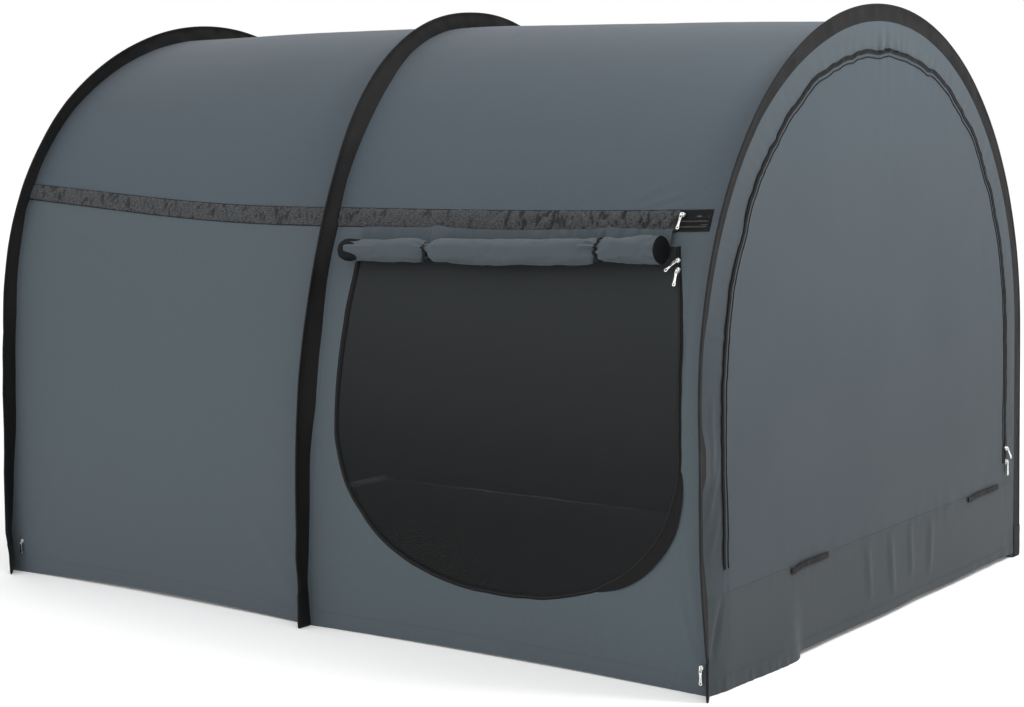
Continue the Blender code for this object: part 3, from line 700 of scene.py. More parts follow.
class Wardrobe:
    """Every material of the tent, made once."""

    def __init__(self) -> None:
        """Builds the finishes."""
        self.slate = Polyester("slate_cloth", (0.0655, 0.0855, 0.0990)).build()
        # The roof, door, surround and skirt are darker copies of the walls' slate cloth: painted shade. The
        # door and surround are also painted lighter high up.
        self.roof = Polyester("slate_cloth_roof", (0.0590, 0.0775, 0.0945)).build()
        self.door = Polyester("slate_cloth_door", (0.0290, 0.0395, 0.0475), painted_top_light_gain=1.55).build()
        self.surround = Polyester("slate_cloth_end", (0.0305, 0.0395, 0.0460), painted_top_light_gain=1.75).build()
        self.skirt = Polyester("slate_cloth_skirt", (0.0285, 0.0360, 0.0410)).build()
        self.cover = Polyester("slate_cloth_cover", (0.0530, 0.0700, 0.0820)).build()
        self.band = Heather("crinkled_band", (0.0120, 0.0125, 0.0140), (0.0690, 0.0730, 0.0780)).build()
        self.edging = Ribbed("band_edging", (0.008, 0.008, 0.009), rib=0.0010).build()
        self.sleeve = Ribbed("black_sleeve", (0.0060, 0.0060, 0.0065)).build()
        # The front sleeve is a lighter copy of the black sleeve: painted sheen, for the light it catches at
        # a grazing angle.
        matt = {"sheen": 0.0, "gloss": 0.06}
        self.front_sleeve = Ribbed("black_sleeve_front", (0.0225, 0.0225, 0.0228), **matt).build()
        self.pocket = Ribbed("black_pocket", (0.0060, 0.0060, 0.0065), rib=0.0018).build()
        self.tie = Ribbed("black_tie", (0.0050, 0.0050, 0.0055), rib=0.0015).build()
        self.tape = Ribbed("zip_tape", (0.0045, 0.0045, 0.0050), rib=0.0008, roughness=0.65).build()
        self.net = Net("window_net", (0.0062, 0.0070, 0.0075), painted_top_light_gain=4.2).build()
        self.lining = Net("cover_edge", (0.0050, 0.0055, 0.0060), open_share=0.1).build()
        self.coil = Hard("zip_coil", (0.007, 0.007, 0.008), 0.45, scratch=(0.001, 0.001)).build()
        self.worn_coil = Hard("zip_coil_worn", (0.080, 0.076, 0.074), 0.45, scratch=(0.001, 0.001)).build()
        self.silver = Hard("zip_metal", (0.83, 0.83, 0.81), 0.22, 1.0).build()
        self.rod = Hard("hoop_rod", (0.05, 0.05, 0.055), 0.35).build()
        self.thread = Hard("slate_thread", (0.040, 0.050, 0.058), 0.7, depth=0.0001).build()
        self.black_thread = Hard("black_thread", (0.010, 0.010, 0.011), 0.7, depth=0.0001).build()


# What repeats along a path.


class Repeater:
    """A Geometry Nodes tree that sets small beads along lines, each turned to the line and to the cloth."""

    OUT = "out"  # the attribute that holds the cloth's normal at each point of a line
    NUMBERS = ("Spacing", "Length", "Width", "Height", "Slant", "Variation")

    def __init__(self) -> None:
        """Builds the tree once."""
        self.tree = bpy.data.node_groups.new("beads_along_lines", "GeometryNodeTree")
        kinds = {"Lines": "Geometry"} | dict.fromkeys(self.NUMBERS, "Float")
        kinds |= {"Seed": "Int", "Finish": "Material"}
        self.sockets: dict[str, str] = {}
        for name, kind in kinds.items():
            made = self.tree.interface.new_socket(name, in_out="INPUT", socket_type=f"NodeSocket{kind}")
            self.sockets[name] = made.identifier
        self.tree.interface.new_socket("Beads", in_out="OUTPUT", socket_type="NodeSocketGeometry")
        self._wire()

    def _node(self, kind: str, links: dict | None = None, **settings) -> bpy.types.Node:
        """Adds a node with its settings and its links or values."""
        node = self.tree.nodes.new(kind)
        for key, value in settings.items():
            setattr(node, key, value)
        for key, value in (links or {}).items():
            if isinstance(value, Socket):
                self.tree.links.new(value, node.inputs[key])
            else:
                node.inputs[key].default_value = value
        return node

    def _wire(self) -> None:
        """Wires the tree from its lines to its finished beads."""
        given = self._node("NodeGroupInput").outputs
        curve = self._node("GeometryNodeMeshToCurve", {"Mesh": given["Lines"]})
        links = {"Curve": curve.outputs[0], "Length": given["Spacing"]}
        spaced = self._node("GeometryNodeResampleCurve", links, mode="LENGTH")
        bead = self._node("GeometryNodeMeshIcoSphere", {"Radius": 0.5, "Subdivisions": 1})
        out = self._node("GeometryNodeInputNamedAttribute", {"Name": self.OUT}, data_type="FLOAT_VECTOR")
        tangent = self._node("GeometryNodeInputTangent")
        up = self._node("FunctionNodeAlignRotationToVector", {"Vector": out.outputs[0]}, axis="Z")
        links = {"Rotation": up.outputs[0], "Vector": tangent.outputs[0]}
        forward = self._node("FunctionNodeAlignRotationToVector", links, axis="X", pivot_axis="Z")
        slant = self._node("ShaderNodeCombineXYZ", {"Z": given["Slant"]})
        euler = self._node("FunctionNodeEulerToRotation", {"Euler": slant.outputs[0]})
        links = {"Rotation": forward.outputs[0], "Rotate By": euler.outputs[0]}
        turn = self._node("FunctionNodeRotateRotation", links, rotation_space="LOCAL")
        less = self._node("ShaderNodeMath", {0: 1.0, 1: given["Variation"]}, operation="SUBTRACT")
        more = self._node("ShaderNodeMath", {0: 1.0, 1: given["Variation"]}, operation="ADD")
        links = {2: less.outputs[0], 3: more.outputs[0], "Seed": given["Seed"]}
        chance = self._node("FunctionNodeRandomValue", links, data_type="FLOAT")
        links = {"X": given["Length"], "Y": given["Width"], "Z": given["Height"]}
        size = self._node("ShaderNodeCombineXYZ", links)
        links = {0: size.outputs[0], "Scale": chance.outputs[1]}
        scaled = self._node("ShaderNodeVectorMath", links, operation="SCALE")
        links = {
            "Points": spaced.outputs[0],
            "Instance": bead.outputs[0],
            "Rotation": turn.outputs[0],
            "Scale": scaled.outputs[0],
        }
        placed = self._node("GeometryNodeInstanceOnPoints", links)
        real = self._node("GeometryNodeRealizeInstances", {"Geometry": placed.outputs[0]})
        links = {"Geometry": real.outputs[0], "Material": given["Finish"]}
        dressed = self._node("GeometryNodeSetMaterial", links)
        self._node("NodeGroupOutput", {"Beads": dressed.outputs[0]})

    def make(
        self,
        name: str,
        lines: Lines,
        material: Material,
        slot: str,
        spacing: float = COIL_SPACING,
        size: tuple[float, ...] = COIL_TOOTH,
        slant: float = COIL_SLANT,
        variation: float = 0.06,
    ) -> Thing:
        """Beads along several lines, such as the teeth of a zip's coil or stitches.

        Args:
            name: The piece's name.
            lines: Each line's points, and the cloth's normals there.
            material: The beads' finish.
            slot: Not used.
            spacing: Distance between beads.
            size: A bead's length along the line, width across it and height.
            slant: Turn of each bead on the cloth, in radians.
            variation: How much the beads' sizes differ, as a share.

        Returns:
            The finished piece, with no modifier left.
        """
        mesh = bpy.data.meshes.new(name)
        points = np.concatenate([line for line, _ in lines])
        normals = np.concatenate([normal for _, normal in lines])
        edges, start = [], 0
        for line, _ in lines:
            edges += [(start + k, start + k + 1) for k in range(len(line) - 1)]
            start += len(line)
        mesh.from_pydata(points.tolist(), edges, [])
        attribute = mesh.attributes.new(self.OUT, "FLOAT_VECTOR", "POINT")
        attribute.data.foreach_set("vector", np.asarray(normals, np.float32).ravel())
        holder = linked(name, mesh)
        modifier = holder.modifiers.new("beads", "NODES")
        modifier.node_group = self.tree
        values = {"Spacing": spacing, "Slant": slant, "Variation": variation, "Seed": 1, "Finish": material}
        values.update(zip(("Length", "Width", "Height"), size))
        for key, value in values.items():
            modifier[self.sockets[key]] = value
        baked(holder)
        holder.data.shade_smooth()
        return finish_piece(holder, material)


# Hoops and the shell between them.


@dataclass
class Hoop:
    """One sprung hoop: the sleeve's outer edge, and the seam that the cloth hangs from.

    The sleeve is a flat fin. Its outer edge keeps near the hoop's own plane, and the seam moves along the
    bed where the cloth's pull turns the fin.
    """

    name: str
    shoulder: float
    power: float
    eave: float
    seams: tuple[Point, ...]  # place round the hoop, and how far along x the cloth pulls the seam, in mm
    bows: tuple[Point, ...]  # the same for the sleeve's outer edge
    band: float = 0.044  # width of the eave band beside this hoop
    band_drop: float = 0.0  # how far the band's middle lies below the eave there
    x: float = 0.0
    half_width: float = 0.0
    height: float = 0.0
    lean: float = 0.0

    def __post_init__(self) -> None:
        """Takes the hoop's place and size from the solids, and follows its fabric line."""
        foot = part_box(f"foot_pocket_left_{self.name}")
        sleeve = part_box(f"sleeve_{self.name}")
        self.x = foot[1].x - POCKET_THICKNESS / 2
        self.half_width = -foot[0].y - POCKET_LIP
        self.height = sleeve[1].z
        top = sleeve[0].x + SLEEVE_THICKNESS / 2 - self.x
        self.lean = min(0.0, top * self.height / (self.height - SLEEVE_WIDTH)) if self.shoulder == 0 else 0.0
        angles = np.linspace(0.0, math.pi / 2, PROFILE_POINTS)
        z = self.shoulder + (self.height - self.shoulder) * np.sin(angles) ** (2 / self.power)
        y = -self.half_width * np.abs(np.cos(angles)) ** (2 / self.power)
        if self.shoulder > 0:
            leg = np.linspace(0.0, self.shoulder, PROFILE_POINTS, endpoint=False)
            z, y = np.concatenate([leg, z]), np.concatenate([np.full_like(leg, -self.half_width), y])
        tangent = unit(np.column_stack([np.gradient(y), np.gradient(z)]))
        self.normal_y, self.normal_z = -tangent[:, 1], tangent[:, 0]
        self.normal_y[0], self.normal_z[0] = -1.0, 0.0
        self.normal_y[-1], self.normal_z[-1] = 0.0, 1.0
        self.line_y = y - SLEEVE_WIDTH * self.normal_y
        self.line_z = z - SLEEVE_WIDTH * self.normal_z
        self.length = path_length(np.column_stack([self.line_y, self.line_z]))
        self.eave_length = float(np.interp(self.eave, self.line_z, self.length))

    def along(self, t: Array) -> Array:
        """Length along the fabric line from the nearer foot, at this place round the hoop."""
        half = np.minimum(t, 1 - t)
        over = (self.length[-1] - self.eave_length) * (half - EAVE_T) / (0.5 - EAVE_T)
        return np.where(half <= EAVE_T, self.eave_length * half / EAVE_T, self.eave_length + over)

    def t_from_foot(self, length: float) -> float:
        """The place round the hoop that is this far up the left leg."""
        return EAVE_T * length / self.eave_length

    def point(self, t: Array) -> tuple[Array, Array]:
        """The fabric line in the hoop's plane, and the outward normal, at these places round the hoop."""
        t = np.asarray(t, float)
        along = self.along(t)
        y, z, normal_y, normal_z = (
            np.interp(along, self.length, values)
            for values in (self.line_y, self.line_z, self.normal_y, self.normal_z)
        )
        sign = np.where(t > 0.5, -1.0, 1.0)
        normal = unit(np.stack([np.zeros_like(y), sign * normal_y, normal_z], -1))
        return np.stack([self.x + self.lean * z / self.height, sign * y, z], -1), normal

    def shift(self, t: Array) -> Array:
        """How far along x the seam stands from the hoop's plane."""
        return np.interp(t, *zip(*self.seams)) / 1000

    def bow(self, t: Array) -> Array:
        """How far along x the sleeve's outer edge stands from the hoop's plane."""
        return np.interp(t, *zip(*self.bows)) / 1000


@dataclass(frozen=True)
class Bay:
    """The smooth shell between two hoops."""

    name: str
    first: Hoop
    second: Hoop
    eave_drop: float  # how far the eave hangs down between the hoops
    hem_rises: Point  # how far the left and the right hem stand off the floor halfway

    def hung(self, u: Array, t: Array) -> tuple[Array, Array]:
        """A point of the shell and its rough normal, at u between the hoops' planes and t round them."""
        u, t = np.broadcast_arrays(np.asarray(u, float), np.asarray(t, float))
        half = np.minimum(t, 1 - t)
        hang = np.sin(math.pi * np.clip(u, 0.0, 1.0) ** 1.4)
        slide = self.eave_drop / METRES_PER_T * hang * np.exp(-(((half - EAVE_T) / 0.045) ** 2))
        moved = t + np.where(t > 0.5, slide, -slide)
        place_a, normal_a = self.first.point(moved)
        place_b, normal_b = self.second.point(moved)
        share = u[..., None]
        normal = unit((1 - share) * normal_a + share * normal_b)
        bow = 4 * u * (1 - u)
        down_wall = np.maximum(0.0, 1 - half / EAVE_T)
        up_roof = ease((half - EAVE_T) / (0.5 - EAVE_T))
        sag = bow * (ROOF_SAG - (ROOF_SAG + RIDGE_LIFT) * up_roof + (WALL_SAG - ROOF_SAG) * down_wall)
        place = (1 - share) * place_a + share * place_b - sag[..., None] * normal
        rise = np.where(t > 0.5, self.hem_rises[1], self.hem_rises[0])
        place[..., 2] += rise * bow * down_wall**2
        return place, normal

    def band_reach(self, u: Array, share: Array) -> Array:
        """How far above the eave, in t, a place across the band lies, its share 0 at the lower edge."""
        width = (1 - u) * self.first.band + u * self.second.band
        drop = (1 - u) * self.first.band_drop + u * self.second.band_drop
        return ((share - 0.5) * width - drop) / METRES_PER_T

    def seam_u(self, share: Array, t: Array) -> Array:
        """Turns a share of the way between the two seams into u between the hoops' planes."""
        span = self.second.point(t)[0][..., 0] - self.first.point(t)[0][..., 0]
        start = self.first.shift(t) / span
        end = 1 + self.second.shift(t) / span
        return start + share * (end - start)

    def spot(self, u: Array, t: Array) -> tuple[Array, Array]:
        """A point of the shell and its true outward normal."""
        place, rough = self.hung(u, t)
        along = self.hung(u + PROBE, t)[0] - self.hung(u - PROBE, t)[0]
        up = self.hung(u, t + PROBE)[0] - self.hung(u, t - PROBE)[0]
        normal = unit(np.cross(along, up))
        sign = np.sign((normal * rough).sum(-1, keepdims=True))
        return place, normal * sign

    def wall_place(self, side: Side, x: Array, z: Array) -> tuple[Array, Array]:
        """The u and t of a side wall's point at this x and height."""
        x, z = np.broadcast_arrays(np.asarray(x, float), np.asarray(z, float))
        start = self.first.x + self.first.lean * z / self.first.height
        end = self.second.x + self.second.lean * z / self.second.height
        u = (x - start) / (end - start)
        low, high = np.zeros_like(u), np.full_like(u, 0.5)
        for _ in range(HALVINGS):
            middle = (low + high) / 2
            below = self.hung(u, middle)[0][..., 2] < z
            low, high = np.where(below, middle, low), np.where(below, high, middle)
        return u, (low if side is Side.LEFT else 1 - low)

    def wall_spot(self, side: Side, x: Array, z: Array, lift: float = 0.0) -> tuple[Array, Array]:
        """A point lifted straight off a side wall at this x and height, and the wall's normal there."""
        u, t = self.wall_place(side, x, z)
        place, normal = self.spot(u, t)
        return place + lift * normal, normal


@dataclass
class Panel:
    """A sheet of the shell, with its gathers and folds.

    The sheet's own measures are x along the bed, and height along the cloth from the floor at the left foot.
    """

    bay: Bay
    relief: Relief
    first_pucker: Pucker
    second_pucker: Pucker
    low_pucker: Pucker | None = None
    high_pucker: Pucker | None = None
    low_t: float = 0.0
    high_t: float = EAVE_T

    @property
    def scale(self) -> float:
        """Metres of cloth for each unit of t."""
        return self.bay.second.eave_length / EAVE_T

    def spot(self, u: Array, t: Array, lift: float = 0.0) -> tuple[Array, Array]:
        """A point of the sheet's outer face, lifted this much, and the smooth shell's normal there."""
        place, normal = self.bay.spot(u, t)
        x, up = place[..., 0], np.minimum(t, 1 - t) * self.scale
        if self.high_t > 0.5:
            up = t * self.scale
        height = self.relief.at(x, up) * (0.15 + 0.85 * ease(np.abs(t - self.high_t) * self.scale / 0.04))
        start = self.bay.first.point(t)[0][..., 0] + self.bay.first.shift(t)
        end = self.bay.second.point(t)[0][..., 0] + self.bay.second.shift(t)
        height = height * ease((x - start) / 0.05) * ease((end - x) / 0.05)
        height = height + self.first_pucker.relief(t * self.scale, x - start) * ease((x - start) / 0.004)
        height = height + self.second_pucker.relief(t * self.scale, end - x) * ease((end - x) / 0.004)
        low, high = np.abs(t - self.low_t) * self.scale, np.abs(t - self.high_t) * self.scale
        if self.low_pucker:
            height = height + self.low_pucker.relief(x, low) * ease(low / 0.003)
        if self.high_pucker:
            height = height + self.high_pucker.relief(x, high) * ease(high / 0.003)
        return place + (height + lift)[..., None] * normal, normal


@dataclass
class Shell:
    """The cloth roof and side walls of one bay."""

    bay: Bay
    wardrobe: Wardrobe
    wall_rows: int = 112
    wall_columns: int = 122
    roof_rows: int = 190
    roof_columns: int = 112
    roof_folds: tuple[Fold, ...] = (
        Fold((-0.995, 0.975), (-0.925, 1.030), 0.0022, 0.0060),
        Fold((-0.990, 0.990), (-0.950, 1.040), 0.0018, 0.0050),
        Fold((0.790, 0.985), (0.890, 1.020), 0.0026, 0.0060),
        Fold((0.800, 0.975), (0.905, 0.990), 0.0022, 0.0045),
        Fold((0.760, 1.000), (0.850, 1.050), 0.0016, 0.0080),
    )
    wall_folds: tuple[Fold, ...] = (
        Fold((0.510, 0.000), (0.513, 0.145), 0.0018, 0.0045),
        Fold((0.727, 0.030), (0.735, 0.145), 0.0020, 0.0080),
        Fold((0.760, 0.000), (0.700, 0.130), 0.0015, 0.0120),
        Fold((0.985, 0.020), (0.935, 0.200), 0.0030, 0.0080),
        Fold((0.990, 0.050), (0.955, 0.320), 0.0025, 0.0090),
        Fold((0.970, 0.000), (0.860, 0.120), 0.0020, 0.0120),
        Fold((0.948, 0.560), (0.952, 0.900), -0.0035, 0.0080),
        Fold((-0.950, 0.880), (-0.660, 0.800), 0.0020, 0.0120),
        Fold((-0.900, 0.910), (-0.560, 0.850), 0.0016, 0.0140),
        Fold((-0.990, 0.030), (-0.800, 0.350), 0.0020, 0.0200),
        Fold((-0.060, 0.030), (-0.250, 0.250), 0.0020, 0.0160),
    )

    def roof_panel(self) -> Panel:
        """The roof's sheet."""
        return Panel(
            self.bay,
            Relief(11 if self.bay.name == "back" else 31, folds=self.roof_folds),
            Pucker(12),
            Pucker(15),
            Pucker(17, pitch=0.030, reach=0.045, height=0.0016),
            Pucker(19, pitch=0.030, reach=0.045, height=0.0016),
            EAVE_T,
            1 - EAVE_T,
        )

    def wall_panel(self, side: Side) -> Panel:
        """One side wall's sheet."""
        seed = {"back": 40, "front": 60}[self.bay.name] + (0 if side is Side.LEFT else 9)
        hem, eave = Pucker(seed + 3, pitch=0.016, reach=0.018, height=0.0009), Pucker(seed + 4, reach=0.045)
        low, high = (0.0, EAVE_T) if side is Side.LEFT else (1.0, 1 - EAVE_T)
        relief = Relief(seed, folds=self.wall_folds)
        return Panel(self.bay, relief, Pucker(seed + 1), Pucker(seed + 2), hem, eave, low, high)

    @property
    def supports(self) -> list[str]:
        """The sleeves that the cloth is sewn to."""
        return [f"hoop_sleeve_{hoop.name}" for hoop in (self.bay.first, self.bay.second)]

    def make_roof(self) -> Thing:
        """The roof, from eave to eave."""
        panel = self.roof_panel()
        ts = EAVE_T + (1 - 2 * EAVE_T) * graded(self.roof_rows, 0.3)
        shares, t = np.meshgrid(graded(self.roof_columns, 0.45), ts)
        place, normal = panel.spot(self.bay.seam_u(shares, t), t)
        uv = stacked(place[..., 0], t * panel.scale)
        quads = grid_quads(*t.shape)[:, ::-1]
        roof = skin(f"cloth_roof_{self.bay.name}", place, place - CLOTH * normal, uv, quads)
        finish_piece(roof, self.wardrobe.roof, stands_for=[f"roof_{self.bay.name}"])
        return roof

    def make_wall(self, side: Side, window: "Window | None") -> Thing:
        """A side wall from hem to eave, cut round its window where it has one."""
        panel = self.wall_panel(side)
        ts = side.round(EAVE_T * graded(self.wall_rows, 0.4))
        shares, t = np.meshgrid(graded(self.wall_columns, 0.4), ts)
        u = self.bay.seam_u(shares, t)
        quads = grid_quads(*t.shape)
        if window:
            u, t, quads = window.trim(side, u, t, quads, inside=False, margin=0.0)
        place, normal = panel.spot(u, t)
        uv = stacked(place[..., 0], np.minimum(t, 1 - t) * panel.scale)
        node = f"wall_{side.value}_{self.bay.name}"
        wall = skin(f"cloth_{node}", place, place - CLOTH * normal, uv, quads)
        finish_piece(wall, self.wardrobe.slate, stands_for=[node])
        width, height = float(np.ptp(place[..., 0])), panel.scale * EAVE_T
        area = width * height - (window.area if window else 0.0)
        return wall

    def band_grid(self, side: Side, end_x: float, across: Array, columns: int) -> tuple[Array, Array]:
        """Places on the eave band, u and t, from hoop to hoop or to where it stops short of the zip's end.

        Args:
            side: Which side of the tent.
            end_x: Where the band stops, or past the hoop for a whole band.
            across: Places across the band, as shares from its lower edge.
            columns: How many places along it.

        Returns:
            The places' u and t.
        """
        clear = 0.0015
        shares = np.linspace(clear, 1 - clear, columns)[None, :]
        level = np.full((len(across), columns), side.round(EAVE_T))
        u = self.bay.seam_u(np.broadcast_to(shares, level.shape), level)
        start_x = self.bay.first.x
        stop = (end_x - start_x) / (self.bay.second.x - start_x)
        u = u[:, :1] + (np.minimum(u[:, -1:], stop) - u[:, :1]) * shares
        return u, level - side.sign * self.bay.band_reach(u, across[:, None])

    def make_band(self, side: Side, end_x: float) -> list[Thing]:
        """The crinkled band over the long zip, and the dark edging along its top and lower edges.

        Args:
            side: Which side of the tent.
            end_x: Where the band stops short of the zip's end, or past the hoop for a whole band.

        Returns:
            The band's piece and its edging's.
        """
        across = np.linspace(0.0, 1.0, 17)
        u, t = self.band_grid(side, end_x, across, 430)
        x = self.bay.spot(u, t)[0][..., 0]
        part = across[:, None]
        seed = self.wall_panel(side).relief.seed + 80
        fine = Ripple(seed).at(x / 0.0048 + 3.0 * part, 3.0 * part)
        broad = Ripple(seed + 1).at(x / 0.0085 - 2.6 * part, 2.4 * part)
        slant = Ripple(seed + 2).at(x / 0.014 + 2.2 * part, 1.2 * part)
        lively = 0.66 + 0.50 * ease((x - 0.30) / 0.25)
        body = np.sin(np.pi * part) ** 0.5
        crinkle = lively * (0.46 * fine + 0.44 * broad + 0.34 * slant)
        lift = np.maximum(0.0014 + 0.0030 * body + 0.0036 * crinkle * (0.25 + 0.75 * body), 0.0014)
        waver = 0.0011 * Ripple(seed + 3).at(x / 0.013, 0.0) * (np.abs(part - 0.5) * 2) ** 3
        place, normal = self.bay.spot(u, t - side.sign * waver / METRES_PER_T)
        place = place + lift[..., None] * normal
        width = self.bay.second.band * 1.1
        uv = stacked(x * 1.25, part * width)
        band = skin(f"crinkled_band_{side.value}_{self.bay.name}", place, place - 0.0008 * normal, uv)
        # How deep each point lies in a crease, which the band's material turns into painted shade.
        crease = ease((-crinkle - 0.06) / 0.40).ravel()
        layer = band.data.attributes.new(Heather.CREASE_SHADE, "FLOAT", "POINT")
        layer.data.foreach_set("value", np.tile(crease, 2).astype(np.float32))
        node = f"eave_band_{side.value}_{self.bay.name}"
        finish_piece(band, self.wardrobe.band, stands_for=[node])
        return [band, self.make_edging(side, end_x)]

    def make_edging(self, side: Side, end_x: float) -> Thing:
        """The thin dark edging along both edges of the eave band: a real binding along the lower edge, and
        along the top edge a dark line that stands in for the shadow of the band's puckers, painted shade.
        """
        u, t = self.band_grid(side, end_x, np.array([0.0, 1.0]), 300)
        place, normal = self.bay.spot(u, t)
        parts = []
        # Row 0 is the lower edge's binding; row 1, along the top edge, is painted shade for the puckers'
        # shadow.
        for row, size in ((0, 0.0012), (1, 0.0011)):
            path, out = place[row] + 0.0010 * normal[row], normal[row]
            up = unit(np.cross(np.gradient(path, axis=0), out))
            ring = [path + size * (math.cos(angle) * out + math.sin(angle) * up) for angle in ring_angles(7)]
            parts.append(swept("edging", np.stack(ring, axis=1), path[:, 0]))
        edging = joined(f"band_edging_{side.value}_{self.bay.name}", parts)
        return finish_piece(edging, self.wardrobe.edging)

    def make_open_zip(self, side: Side, start_x: float, end_x: float, repeater: Repeater) -> None:
        """The bare end of the eave zip in front of the band: its tape, with a bound frame, and its coil."""
        across = np.linspace(0.0, 1.0, 21)
        columns = 46
        bay = self.bay
        along = np.linspace(0.0, 1.0, columns)
        x = start_x + (end_x - start_x) * along
        u = np.broadcast_to((x - bay.first.x) / (bay.second.x - bay.first.x), (len(across), columns))
        t = side.round(EAVE_T) - side.sign * bay.band_reach(u, across[:, None])
        place, normal = bay.spot(u, t)
        frame_lift = 0.0012 * ease((across - 0.84) / 0.04) + 0.0008 * ease((0.06 - across) / 0.03)
        end_lift = 0.0012 * ease((along - 0.90) / 0.03)
        lift = 0.0008 + np.maximum(frame_lift[:, None], end_lift[None, :])
        lift = lift + 0.0007 * np.cos(TAU * across / 0.20)[:, None] * (lift < 0.0009)
        uv = stacked(x[None, :], across[:, None] * 0.045)
        outer, inner = place + lift[..., None] * normal, place + 0.0001 * normal
        tape = skin(f"eave_zip_tape_{side.value}", outer, inner, uv)
        finish_piece(tape, self.wardrobe.tape)
        lines = []
        for share in (0.20, 0.46):
            row = int(round(share * (len(across) - 1)))
            lines.append((place[row, 1:-5] + 0.0018 * normal[row, 1:-5], normal[row, 1:-5]))
        repeater.make(f"eave_zip_coil_{side.value}", lines, self.wardrobe.worn_coil, "zip_tape")


# Windows.


